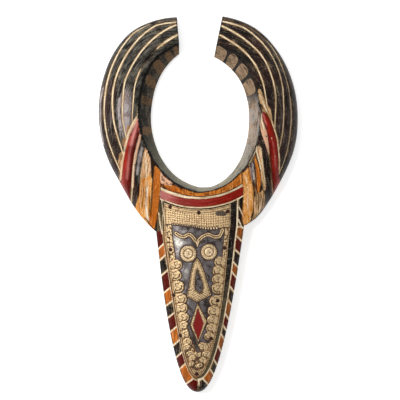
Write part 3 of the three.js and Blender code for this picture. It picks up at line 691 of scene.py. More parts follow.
def ringRadius(name, degrees):  # of the crease or the hole, for angles that are below zero on the left
    size = np.abs(degrees)
    return np.where(degrees < 0, leftHorn[name](size), rightHorn[name](size))


def straight(low, high):  # points between two edges, by share
    return lambda share: lerp(low[:, None], high[:, None], share[..., None])


def centreAt(distance):
    return face["centre"][0] + face["centre"][1] * distance / face["span"]


def halfWidth(loop, side, distance):
    reach = np.maximum(distance - loop["tip"], 0) / (face["span"] - loop["tip"])
    bulge = np.sin(np.pi * np.minimum(reach, 1))
    left, right = [width * reach ** power + swell * bulge for width, power, swell in (loop[-1], loop[1])]
    return np.where(np.asarray(side) < 0, left, right)


def loopPoint(loop, side, distance):
    x = centreAt(distance) + side * halfWidth(loop, side, distance)
    return np.stack([x, face["tipY"] + distance], -1)


def faceHeight(x, y):
    distance = np.maximum(y - face["tipY"], 0)
    share = np.minimum(distance / face["notch"][-1], 1)
    low, high, power = face["spine"]
    spine = lerp(low, high, share ** power)
    edge = lerp(*face["edge"], np.sqrt(share))
    side = np.where(x < centreAt(distance), -1, 1)
    across = np.abs(x - centreAt(distance)) / np.maximum(halfWidth(face["outline"], side, distance), 1)
    return spine - (spine - edge) * np.minimum(across, 1.1) ** face["round"]


notchLeft, notchRight = [loopPoint(face["outline"], side, face["notch"][side]) for side in (-1, 1)]


def notchLineY(x):
    return lerp(notchLeft[1], notchRight[1], (x - notchLeft[0]) / (notchRight[0] - notchLeft[0]))


def surfaceHeight(x, y):  # the plain surface of face and head, before any carving
    degrees, radius = polarOf(np.stack([x, y], -1))
    drop = np.where(np.abs(ring["y"] - y) < 1, 1, ring["y"] - y)
    slope = (x - ring["x"]) / drop
    footY = notchLineY(x)
    for _ in range(4):
        footY = notchLineY(ring["x"] + slope * (ring["y"] - footY))
    foot = np.stack([ring["x"] + slope * (ring["y"] - footY), footY], -1)
    footRadius = polarOf(foot)[1]
    crease = ringRadius("creaseAt", np.where(x < ring["x"], -degrees, degrees))
    share = np.clip((footRadius - radius) / (footRadius - crease), 0, 1)
    head = lerp(faceHeight(*planes(foot)), crestAt(degrees), share)
    return np.where(y <= notchLineY(x), faceHeight(x, y), head)


def seen(points):  # where the camera over the mask sees a point, on the plane of the floor
    middle = np.array(studio["middle"])
    share = studio["cameraHeight"] / (studio["cameraHeight"] - points[..., 2:])
    return middle + (points[..., :2] - middle) * share


def crossing(at, grooveAt, count):  # share of each station at which it crosses a groove
    low, high = np.zeros((count, 1)), np.ones((count, 1))
    for _ in range(20):  # halves the stretch that holds the crossing
        middle = (low + high) / 2
        degrees, radius = polarOf(at(middle))
        outside = radius > grooveAt(degrees)
        low, high = np.where(outside, middle, low), np.where(outside, high, middle)
    return low


def sharesAcross(at, width, groovesAt):  # columns across a station: every flute and groove gets its own
    zero, one = np.zeros((len(width), 1)), np.ones((len(width), 1))
    half = carving["grooveHalf"] / width[:, None]
    columns, centres = [(zero, 0.0, 0.0)], []  # share of the width, cut of the groove, crown of the flute

    def addFlute(start, end, count):
        for part in np.arange(1, count + 1) / (count + 1):
            share = lerp(start, end, part if centres else part ** 1.7)
            columns.append((share, 0.0, math.sin(math.pi * part)))

    start = zero
    for grooveAt, count in zip(groovesAt, carving["fluteColumns"]):
        atLeast = (centres[-1] if centres else 0) + 3 * half
        centre = np.maximum(crossing(at, grooveAt, len(width)), atLeast)
        addFlute(start, centre - half, count)
        for offset in carving["grooveOffsets"]:
            columns.append((centre + offset * half, 1 - abs(offset) ** 1.5, 0.0))
        centres.append(centre)
        start = centre + half
    addFlute(start, one, carving["fluteColumns"][-1])
    columns.append((one, 0.0, 0.0))
    shares, cuts, crowns = zip(*columns)
    shares = np.concatenate(shares, 1)
    gaps = np.stack([np.abs(shares - centre) * width[:, None] for centre in centres], -1)
    depths = np.clip((np.concatenate(centres, 1) - 0.02) / 0.05, 0, 1)  # grooves run out at the edge
    return {"share": shares, "cut": np.array(cuts), "crown": np.array(crowns), "gap": gaps, "depth": depths}


def sideRows(bottom, edge):  # rounded flank, from the back up to the outer edge
    rise = (np.arange(carving["sideRows"]) / carving["sideRows"])[None, :, None]
    flat = lerp(bottom[:, None], edge[:, None, :2], 1 - (1 - rise) ** carving["flankRound"])
    return np.concatenate([flat, edge[:, None, 2:] * rise], -1)


def wallRows(rim, foot):  # the wall slants down into the hole, cut in shallow scallops
    down = (np.arange(1, carving["wallRows"] + 1) / carving["wallRows"])[None, :, None]
    degrees, radius = polarOf(rim)
    run = alongRing(np.sign(rim[:, 0] - ring["x"] + 1e-6), degrees, radius)
    scallop = np.abs(np.sin(run / carving["scallop"] * math.pi + 0.8 * uneven(run, 0, 30, 5)))
    inward = unit(foot - rim[:, :2])[:, None]
    dents = 0.4 * uneven(run[:, None], down[..., 0] * 30, 6, 8)[..., None]
    hollow = carving["scallopDepth"] * (1 - scallop[:, None, None]) + dents
    flat = lerp(rim[:, None, :2], foot[:, None], down) - inward * hollow * np.sin(np.pi * down) ** 0.7
    height = lerp(rim[:, None, 2:], carving["wallFoot"], down ** 1.25)
    low = [raised(foot, np.full(len(foot), z))[:, None] for z in (carving["wallEdge"], 0.0)]
    return np.concatenate([np.concatenate([flat, height], -1), *low], 1)


def carved(kind, inside, rise, along, x, y):  # height over a drawn shape, from how far inside its outline
    deep = np.clip(inside, 0, None)

    def left(reach):  # 1 at the outline, 0 from the reach on
        return 1 - np.clip(deep / reach, 0, 1)

    if kind == "flat":
        return 0 * deep
    if kind == "roof":
        return rise * (1 - left(carving["roofReach"]) ** 1.5)
    if kind == "finger":
        return rise * np.sqrt(1 - left(carving["fingerReach"]) ** 2) - 0.8 * (inside > -0.3)
    if kind == "groove":
        return -rise * smooth(0, carving["cutReach"], deep)
    hollow = -rise * (1 - left(carving["hollowReach"]) ** 2)
    if kind == "furrows":
        ridges = np.abs(np.sin(np.pi * (along / carving["furrowPitch"] + 0.45 * uneven(x, y, 9, 21))))
        hollow = hollow * 0.7 + (0.9 * ridges + 0.4 * uneven(x * 2.5, y * 0.6, 3, 22)) * smooth(0, 2, deep)
    return hollow


def pastMeeting(x, y, horn):  # distance from the cheek's edge, above zero on the horn
    reach = 12
    line = np.array(horn["meeting"])
    order = np.argsort(line[:, 1])
    edge = np.interp(y, line[order, 1], line[order, 0])
    beyond = (edge - x) * -horn["side"]
    distance = near(x, y, horn["meeting"], reach, lambda a, b, points: pathDistance(a, b, points)[0])
    distance = np.where(distance < 0, reach, distance)
    return np.where((beyond > 0) | (y > line[0, 1]), distance, -distance)


def hornStations(horn):  # lines across a horn, from its outer edge to the crease at the hole
    bands, tip, side = horn["bands"], horn["tip"], horn["side"]
    steps = [k + np.arange(cuts) / cuts for k, (_, _, cuts) in enumerate(bands)]
    position = np.concatenate([*steps, [len(bands)]])
    outer, crease = [np.interp(position, range(len(bands) + 1), [band[i] for band in bands] + [tip[i]])
                     for i in (0, 1)]
    nearTip = np.clip((crease - carving["tipStart"]) / (tip[1] - carving["tipStart"]), 0, 1)
    hole = crease + nearTip * (tip[2] - tip[1])
    edge = onRing(side, outer, horn["outerAt"](outer))
    rim = onRing(side, crease, horn["creaseAt"](crease))

    def at(share):
        radius = lerp(horn["outerAt"](outer)[:, None], horn["creaseAt"](crease)[:, None], share)
        spiral = onRing(side, lerp(outer[:, None], crease[:, None], share), radius)
        return lerp(straight(edge, rim)(share), spiral, carving["bow"])

    return {"outer": outer, "crease": crease, "edge": edge, "rim": rim,
            "foot": onRing(side, hole, horn["holeAt"](hole)), "at": at}


paintRange = -4, 3  # the distances inside a paint are kept between these


def lay(fields, name, inside):  # adds a shape to a paint
    fields[name] = np.maximum(fields.get(name, -farOut), inside)


def hornSurface(horn):  # top of a horn, with its flutes, grooves and bands
    stations = hornStations(horn)
    width = np.linalg.norm(stations["rim"] - stations["edge"], axis=1)
    across = sharesAcross(stations["at"], width, horn["groovesAt"])
    share = across["share"]
    flat = stations["at"](share)
    blend = smooth(horn["bands"][0][0], horn["bands"][2][0], stations["outer"])[:, None]
    edgeHeight = lerp(face["edge"][1], carving["edgeHeight"], blend)
    dome = np.sqrt(1 - (1 - share) ** 2.2)
    height = lerp(edgeHeight, crestAt(stations["crease"])[:, None], lerp(share, dome, blend))
    x, y = planes(seen(raised(flat, height)))
    onHorn = pastMeeting(x, y, horn)
    ruled = smooth(-0.4, 0.6, onHorn)
    groove = np.where(across["gap"] < carving["grooveHalf"], across["depth"][:, None], 0).sum(-1)
    height = height - ruled * across["cut"] * groove * carving["grooveDepth"]
    height = height + ruled * across["crown"] * carving["crown"] * np.minimum(share * 8, 1)
    step = np.linalg.norm(np.diff(flat, axis=0), axis=-1)
    arc = np.concatenate([np.zeros((1, share.shape[1])), np.cumsum(step, 0)])
    fields = {name: np.full(x.shape, -farOut) for name in paints}
    tone = np.full(x.shape, 0.5)
    inner = smooth(0, 0.06, share)
    for name, kind, rise, light, points in horn["shapes"]:
        inside = insideShape(x, y, points)
        relief = carved(kind, inside, rise, arc, x, y)
        seam = 0.5 * np.exp(-(inside / 0.8) ** 2) if rise else 0
        height = height + (relief - seam) * inner * smooth(0, 0.03, 1 - share)
        if name:
            lay(fields, name, inside)
            tone = lerp(tone, light, smooth(-0.4, 0.4, inside))
    for name, half, points in horn["strokes"]:
        lay(fields, name, insideStroke(x, y, points, half))
    for light, half, points in horn["lights"]:
        tone = lerp(tone, light, smooth(-half, half, insideStroke(x, y, points, half)))
    clear = smooth(0, 0.15, share) * smooth(0, 0.1, 1 - share)
    height = height + (0.35 * uneven(x, y, 17, 3) + 0.14 * uneven(x, y, 4, 4)) * clear
    return {**stations, "points": raised(flat, height), "share": share, "gap": across["gap"], "arc": arc,
            "run": share * width[:, None], "fields": fields, "tone": tone, "onHorn": onHorn}


def hornPaint(horn, surface):
    degrees = polarOf(surface["points"])[0]
    x, y = planes(seen(surface["points"]))
    share, fields = surface["share"], surface["fields"]
    lines = [np.interp(degrees, *zip(*line)) - surface["gap"][..., k]
             for k, line in enumerate(horn["lines"])]
    lay(fields, "cream", np.minimum(np.max(lines, 0), surface["onHorn"] + 0.5))
    fields = {name: np.clip(value, *paintRange) for name, value in fields.items()}
    outside = smooth(*carving["slateShare"], share) * smooth(*carving["slateDegrees"], degrees)
    fields["slate"] = lerp(horn["slate"], horn["outerSlate"], outside) * smooth(0, 0.1, share)
    # painted lilac grey highlights on the horn, then the painted highlight strokes
    fields["rubbed"] = sum(strength * np.exp(-((x - cx) / rx) ** 2 - ((y - cy) / ry) ** 4)
                           for cx, cy, rx, ry, strength in horn["rubbed"])
    for name, half, strength, line in horn["sheen"]:
        lay(fields, name, strength * smooth(-half, half, insideStroke(x, y, line, half)))
    fields.update(tone=surface["tone"], bands=smooth(0.5, -0.5, surface["onHorn"]), along=surface["arc"],
                  across=surface["run"])
    return fields


paints = ("cream", "red", "orange", "tan", "dark", "pink")
woodFields = dict.fromkeys(("plum", "rubbed", "slate", "sheen", "bands", "wall", "blotch", "depth", "back",
                            "along", "across"), 0.0)
woodFields.update(dict.fromkeys((*paints, "olive"), -4.0), tone=0.5)
wallBlotches = {   # bare patches on the wall: angle round the ring, half width in degrees, strength
    -1: [(76, 6, 1.1), (108, 6, 0.9), (126.5, 6, 1.2), (142, 5.5, 1.24), (154, 4, 1.0), (161, 3, 1.0)],
    1: [(72, 5, 0.7), (84, 5, 0.5), (103, 7, 0.7), (121, 7.8, 1.4), (137, 6.1, 1.5), (149.7, 5.0, 1.45),
        (162, 6.0, 1.4)],
    "top": 0.53, "reach": 0.47,
}
creaseShadow = {-1: 4.4, 1: 1.2}   # width of the painted shadow under the crease, wider on the left wall that faces away from the lamp


def wallPaint(points, side):
    degrees, radius = polarOf(points)
    rows = np.linspace(0, 1, points.shape[1])[None, :]
    blotch = np.zeros(degrees.shape)
    for at, half, strength in wallBlotches[side]:
        away = np.abs((rows - wallBlotches["top"]) / wallBlotches["reach"])
        inside = 1 - (np.abs((degrees - at) / half) ** 2.6 + away ** 3.5)
        blotch = np.maximum(blotch, strength * smooth(0, 0.4 if strength > 1.25 else 1.0, inside))
    run = alongRing(side, degrees, radius)
    # the dark line along the top of the wall is painted shadow under the crease
    seam = creaseShadow[side] - rows * 26 + 1.2 * uneven(run, 0 * run, 5, 71)
    return {"wall": 1.0, "blotch": blotch, "depth": rows + 0 * run, "along": run, "across": points[..., 2],
            "bands": 0.0, "dark": np.clip(seam, *paintRange)}


def faceRows(top, dividers):  # distances up the outline, closer together where the cream lines meet it
    fine = np.linspace(0, top, 4000)
    density = 1 + sum(4 * np.exp(-((fine - (y - face["tipY"])) / 1.6) ** 2) for y in dividers)
    density = density + 2.0 * np.exp(-fine / 6)
    total = np.concatenate([[0], np.cumsum((density[1:] + density[:-1]) / 2)])
    return np.interp(np.linspace(0, total[-1], face["rows"] + 1), total, fine)


def loopDistance(loop, distance, top):  # the same row, where it crosses a loop further in
    at, to = zip(*face["rowLift"])
    end = top - face["liftEnd"]
    lifted = np.interp(distance, [*at, end, top], [*to, end + face["lift"], top])
    return loop["tip"] + (lifted - to[0]) * (top - loop["tip"]) / (top - to[0])


def woodColumns():  # columns of the middle, from the left outline to the right one
    rows = {}
    for side, dividers in ((-1, border[-1]), (1, border[1][1:])):
        top = face["notch"][side]
        distance = faceRows(top, dividers)
        rows["outline", side] = loopPoint(face["outline"], side, distance)
        for name in ("frameLine", "plateEdge"):
            rows[name, side] = loopPoint(face[name], side, loopDistance(face[name], distance, top))
    frame, panel = face["frameDegrees"], face["panelDegrees"]
    stops = [(rows["outline", -1], -leftHorn["bands"][0][1]), (rows["frameLine", -1], frame[0]),
             (rows["plateEdge", -1], panel[0]), (rows["plateEdge", 1], panel[1]),
             (rows["frameLine", 1], frame[1]), (rows["outline", 1], rightHorn["bands"][0][1])]
    columns = []  # points, angle at the crease, and how far in from the outline: 1 on the frame line
    for k, count in enumerate(face["columns"]):
        (low, lowDegrees), (high, highDegrees) = stops[k:k + 2]
        for share in np.arange(count) / count:
            inward = {0: share, len(face["columns"]) - 1: 1 - share}.get(k, 2.0)
            columns.append((lerp(low, high, share), lerp(lowDegrees, highDegrees, share), inward))
    columns.append((*stops[-1], 0.0))
    flat, degrees, inward = zip(*columns)
    return np.stack(flat), np.array(degrees), np.array(inward)[:, None]


def headSurface(edge, degrees):  # from the notch line up to the crease, in line with the face's columns
    rim, foot = [onRing(1, degrees, ringRadius(name, degrees)) for name in ("creaseAt", "holeAt")]
    width = np.linalg.norm(rim - edge, axis=1)
    parts = [sharesAcross(straight(edge[own], rim[own]), width[own], horn["groovesAt"])
             for horn, own in ((leftHorn, degrees < 0), (rightHorn, degrees >= 0))]
    share, gap = [np.concatenate([part[name] for part in parts]) for name in ("share", "gap")]
    flat = straight(edge, rim)(share)
    x, y = planes(flat)
    height = surfaceHeight(x, y)
    cut = parts[0]["cut"] * carving["headGrooveDepth"]
    for k in (2, 3):  # only the two inner grooves cross the head
        height = height - (gap[..., k] < carving["grooveHalf"]) * cut
    radius = polarOf(flat)[1]
    fade = smooth(0, 0.06, share) * smooth(0, 0.05, 1 - share)
    middle, reach, crown = arcs["redCrown"]
    redArc = np.clip(1 - ((radius - middle) / reach) ** 2, 0, 1)
    height = height + crown * np.sqrt(redArc) * fade * (np.abs(degrees)[:, None] < arcs["crownDegrees"])
    height = height + smooth(*arcs["rough"], radius) * fade * (0.45 * uneven(x, y, 3.2, 12) - 0.4)
    return {"points": raised(flat, height), "foot": foot, "share": share, "width": width}


def blocks(points, side):  # how deep in a cream line between two blocks, and the block's colour
    x, y = planes(points)
    cream = np.full(x.shape, -farOut)
    below = np.zeros(x.shape, int)
    for outerY in border[side]:
        distance = outerY - face["tipY"]
        outer = loopPoint(face["outline"], side, distance)
        crossed = loopDistance(face["frameLine"], distance, face["notch"][side])
        inner = loopPoint(face["frameLine"], side, crossed)
        past = outer + (outer - inner) * 0.5
        cream = np.maximum(cream, border["creamHalf"] - segmentDistance(x, y, past, inner)[0])
        cross = (inner[0] - outer[0]) * (y - outer[1]) - (inner[1] - outer[1]) * (x - outer[0])
        below += cross * side > 0
    line = border["middleLine"]
    cream = np.maximum(cream, line["half"] - np.abs(x - line["x"]) - 3 * np.clip(y - line["top"], 0, 9))
    return cream, np.array(border["colours"][side])[below]


def borderPaint(points, inward, onArcs, fields):  # blocks and frame of the face, and how far they stand up
    x, y = planes(points)
    onBorder = (inward <= 1) & ~onArcs
    for side, own in ((-1, slice(0, len(points) // 2)), (1, slice(len(points) // 2, None))):
        dividers, colours = blocks(points[own], side)
        ground = onBorder[own] & (y[own] < border["top"][side])
        fields["cream"][own] = np.where(ground, dividers, -farOut)
        fields["red"][own] = np.where(ground & (colours == "r"), 3, -farOut)
        fields["orange"][own] = np.where(ground & (colours == "o"), 3, -farOut)
    for own, (half, middle, top) in ((x < 0, border["frameLine"][-1]), (x >= 0, border["frameLine"][1])):
        framed = own & (inward <= 1.6) & ~onArcs & (y < top)
        lay(fields, "cream", np.where(framed, half - np.abs(inward - middle) * 8, -farOut))
    fields["tan"] = np.where((inward > 1.6) & (x < 0) & (y < border["tanTop"]), 0.7, fields["tan"])
    lowRight = (inward > 1.22) & (x > 0) & (y < border["oliveTop"])
    olive = 1.3 * smooth(border["oliveTop"], border["oliveFull"], y) - 0.6
    fields["olive"] = np.where(lowRight, olive, fields["olive"])
    # a thin dark line along the outline: painted shade where the edge rounds down
    fields["dark"] = np.where(onBorder, 0.7 - inward * 9, -farOut)
    inner = np.clip(inward * 3, 0, 1) * np.clip((1 - inward) * 5, 0, 1)
    pillow = np.clip(-fields["cream"] / 3, 0, 1) ** 0.5 * inner * onBorder
    return border["pillow"] * pillow - border["cut"] * smooth(-0.3, 0.9, fields["cream"]) * ~onArcs


def arcPaint(x, along, radius, toCrease, onArcs, fields):  # the arcs, all rougher towards the left
    wobble = 0.25 * uneven(along, radius, 9, 61)
    innerHalf = lerp(*arcs["innerHalf"], smooth(5, -30, x))
    lines = np.maximum(innerHalf - np.abs(radius - arcs["innerLine"] - wobble),
                       arcs["outerHalf"] - np.abs(radius - arcs["outerLine"] - wobble))
    ragged = toCrease - 0.9 + 0.9 * uneven(along, 3, 4, 62) - 2.2 * smooth(-16, -32, x)
    spots = 0.9 * uneven(along, radius * 1.6, 3, 63) - 0.62 + 0.3 * smooth(-5, -35, x) - 3 * (radius > 104)
    red = np.minimum(radius - arcs["red"][0], arcs["red"][1] - radius)
    dark = np.maximum(arcs["darkHalf"] - np.abs(radius - arcs["darkLine"] + wobble), spots)
    for name, value in (("cream", lines), ("red", red), ("dark", dark),
                        ("orange", np.minimum(arcs["orangeTop"] - radius, ragged))):
        fields[name] = np.where(onArcs, value, fields[name])


def dress(points, inward, fade, toCrease):  # paints and low relief of face and head
    x = points[..., 0]
    degrees, radius = polarOf(points)
    along = alongRing(np.sign(x), degrees, radius)
    look = planes(seen(points))
    fields = {name: np.full(x.shape, -farOut) for name in (*paints, "olive")}
    onArcs = (radius < arcs["outer"]) & (degrees < arcs["degrees"])
    relief = borderPaint(points, inward, onArcs, fields)
    arcPaint(x, along, radius, toCrease, onArcs, fields)
    inShape, shapeTone = np.full(x.shape, -farOut), np.full(x.shape, 0.5)
    for name, _, _, light, outline in leftHorn["shapes"] + rightHorn["shapes"]:
        inside = insideShape(*look, outline)
        if name and inside.max() > -farOut:
            shapeTone = np.where(inside > inShape, light, shapeTone)
            inShape = np.maximum(inShape, inside)
            for other in fields:
                fields[other] = np.minimum(fields[other], -inside - 0.2)
            lay(fields, name, inside)
    for name, half, line in border["notchLines"]:
        lay(fields, name, np.where(onArcs, -farOut, insideStroke(*look, line, half)))
    for name, outline in border["notchFill"]:
        lay(fields, name, np.where(onArcs & (name == "olive"), -farOut, insideShape(*look, outline)))
    onRed = onArcs & (radius > arcs["redStart"])
    tone = np.where(onArcs, 0.35 - 0.3 * smooth(-5, -35, x), lerp(0.0, -0.35, smooth(-15, 15, x)))
    tone = np.where(onRed, lerp(0.75, 0.5, smooth(-15, 25, x)), tone)
    points = points.copy()
    points[..., 2] += relief * fade
    fields = {name: np.clip(value, *paintRange) for name, value in fields.items()}
    fields.update(tone=np.where(inShape > -0.5, shapeTone, tone), along=along, across=radius,
                  bands=np.where(inward <= 1.6, 0.6, 0.0), plum=np.where(onRed, smooth(40, -25, x), 0.0),
                  sheen=np.where(onArcs & (fields["red"] > -0.2), 0.9 * smooth(-16, -46, x), 0.0))
    return points, fields


def backRows(bottom, foot, seed):  # flat back between the outer edge and the hole, a little uneven
    share = (np.arange(carving["backRows"] + 1) / carving["backRows"])[None, :, None]
    flat = lerp(bottom[:, None], foot[:, None], share)
    lift = 0.25 * (1 + uneven(*planes(flat), 9, seed)) * np.sin(np.pi * share[..., 0]) ** 0.5
    return raised(flat, lift)


scoop = {"x": 1.5, "y": -118, "halfWidth": 27, "halfLength": 78, "depth": 17,
         "gouge": 3.1, "gougeDepth": 0.5}


def scoopLift(x, y):  # hollow cut out behind the face, with gouge marks
    reach = ((x - scoop["x"]) / scoop["halfWidth"]) ** 2 + ((y - scoop["y"]) / scoop["halfLength"]) ** 2
    depth = scoop["depth"] * np.sqrt(np.clip(1 - reach, 0, 1))
    gouges = np.abs(np.sin(x / scoop["gouge"] + 0.8 * uneven(x, y, 14, 31))) * smooth(1, 4, depth)
    return depth + scoop["gougeDepth"] * gouges


def backGrid(weave, points, turned=True):
    weave.grid(points, {"back": 1.0, "along": points[..., 1], "across": points[..., 0]}, turned)


def makeHorn(weave, horn, start, bottomStart):  # a horn all round, joined to the head at its first station
    side = horn["side"]
    surface = hornSurface(horn)
    fields = hornPaint(horn, surface)
    top = surface["points"]
    top[0] = start
    weave.grid(top, fields, side < 0)

    bottom = surface["edge"] + unit(surface["rim"] - surface["edge"]) * carving["edgeTuck"]
    bottom[0] = bottomStart
    flank = np.concatenate([sideRows(bottom, top[:, 0]), top[:, :1]], 1)
    fields = {name: np.repeat(value[:, :1], flank.shape[1], 1) for name, value in fields.items()}
    fields["across"] = flank[..., 2] - carving["edgeHeight"]
    weave.grid(flank, fields, side < 0)

    wall = np.concatenate([top[:, -1:], wallRows(top[:, -1], surface["foot"])], 1)
    weave.grid(wall, wallPaint(wall, side), side < 0)
    back = backRows(bottom, surface["foot"], 40 + side)
    back[0, :, 2] = 0
    backGrid(weave, back, side > 0)

    # cut end, with a narrow bevel
    loop = np.concatenate([flank[-1, :-1], top[-1], wall[-1, 1:], back[-1, -2:0:-1]])
    inner = loop + unit(loop.mean(0) - loop) * carving["endBevel"] + (-side * carving["endSlant"], 0, 0)
    inner[:, 2] = np.maximum(inner[:, 2], 0.3)
    closed = np.stack([loop, inner], 1)
    weave.grid(np.concatenate([closed, closed[:1]]), {"wall": 1.0}, side > 0)
    weave.fill(inner, {"wall": 1.0}, side < 0)
    return back[0]


def makeWood():
    weave = Weave(woodFields)
    flat, degrees, inward = woodColumns()
    head = headSurface(flat[:, -1], degrees)
    faceTop, faceFields = dress(raised(flat, surfaceHeight(*planes(flat))), inward, 1.0, 6.0)
    faceTop[:, 0, 2] = (faceTop[:, 0, 2] + faceTop[::-1, 0, 2]) / 2
    weave.grid(faceTop, faceFields)
    fromCrease = 1 - head["share"]
    fade, toCrease = smooth(0, 0.03, fromCrease), fromCrease * head["width"][:, None]
    headTop, headFields = dress(head["points"], inward, fade, toCrease)
    headTop[:, 0] = faceTop[:, -1]
    weave.grid(headTop, headFields)
    wall = np.concatenate([headTop[:, -1:], wallRows(head["points"][:, -1], head["foot"])], 1)
    left, right = wallPaint(wall, -1), wallPaint(wall, 1)
    weave.grid(wall, {name: np.where(degrees[:, None] < 0, left[name], right[name]) for name in left})

    # flanks of the face, then the horns, joined to the outermost columns
    bottoms = []
    for own in (0, -1):
        points = faceTop[own]
        bottoms.append(np.stack([points[:, 0] * face["tuck"], points[:, 1] + carving["edgeTuck"] / 2], -1))
        flank = np.concatenate([sideRows(bottoms[own], points), points[:, None]], 1)
        weave.grid(flank, {name: np.repeat(value[own][:, None], flank.shape[1], 1)
                           for name, value in faceFields.items()}, own < 0)
    backStarts = [makeHorn(weave, horn, headTop[own], bottoms[own][-1])
                  for horn, own in ((leftHorn, 0), (rightHorn, -1))]

    # back of the face and the head
    left, right = flat[0], flat[-1]
    share = (flat[..., 0] - left[:, 0]) / np.maximum(right[:, 0] - left[:, 0], 1e-6)
    backFlat = lerp(bottoms[0][None], bottoms[1][None], share[..., None])
    backFlat[..., 1] += flat[..., 1] - lerp(left[:, 1], right[:, 1], share)
    backFace = raised(backFlat, scoopLift(*planes(backFlat)))
    backFace[0], backFace[-1] = [raised(bottom, np.zeros(len(bottom))) for bottom in bottoms]
    backGrid(weave, backFace)
    backHead = backRows(backFlat[:, -1], head["foot"], 44)
    backHead[..., 2] += scoopLift(*planes(backHead))
    backHead[0], backHead[-1] = backStarts
    backHead[:, -1, 2] = 0
    backGrid(weave, backHead)
    return weave.build("carvedWood")


# Paint on the wood

woodPaint = palette({
    "black": (12, 12, 10), "slate": (98, 96, 88), "lilac": (184, 172, 170), "lilacDeep": (118, 102, 104),
    "maroon": (60, 36, 32), "brown": (92, 62, 34), "ochre": (134, 104, 62), "dust": (168, 146, 116),
    "cream": (250, 229, 194), "creamWorn": (208, 180, 140), "red": (174, 26, 6), "redDark": (86, 10, 0),
    "plum": (128, 46, 42), "primer": (240, 188, 152), "shine": (236, 160, 150), "glint": (255, 244, 224),
    "orangePale": (255, 220, 164), "orange": (234, 160, 74), "orangeDeep": (190, 98, 22),
    "tan": (232, 190, 138), "tanDeep": (140, 98, 58), "crack": (44, 30, 20), "olive": (112, 100, 72),
    "wall": (26, 23, 18), "wallBrown": (128, 96, 64), "wallRight": (166, 156, 146),
    "wallParting": (44, 40, 38), "wallPink": (188, 160, 136), "wallTan": (170, 142, 112),
    "wallTanDeep": (96, 72, 50), "wallFoot": (124, 122, 104), "wallFootPale": (166, 160, 142),
    "wallWorn": (126, 114, 96), "bareWood": (150, 116, 84), "bareWoodDark": (104, 74, 50),
})


woodGrains = {"fine": (1.5, 4.0), "speck": (0.9, 2.0), "patchy": (11.0, 3.0), "broad": (34.0, 3.0)}
# length and width of the streaks
brush = {"lengthwise": (24.0, 1.1), "crosswise": (20.0, 1.1), "brushed": (24.0, 2.6)}


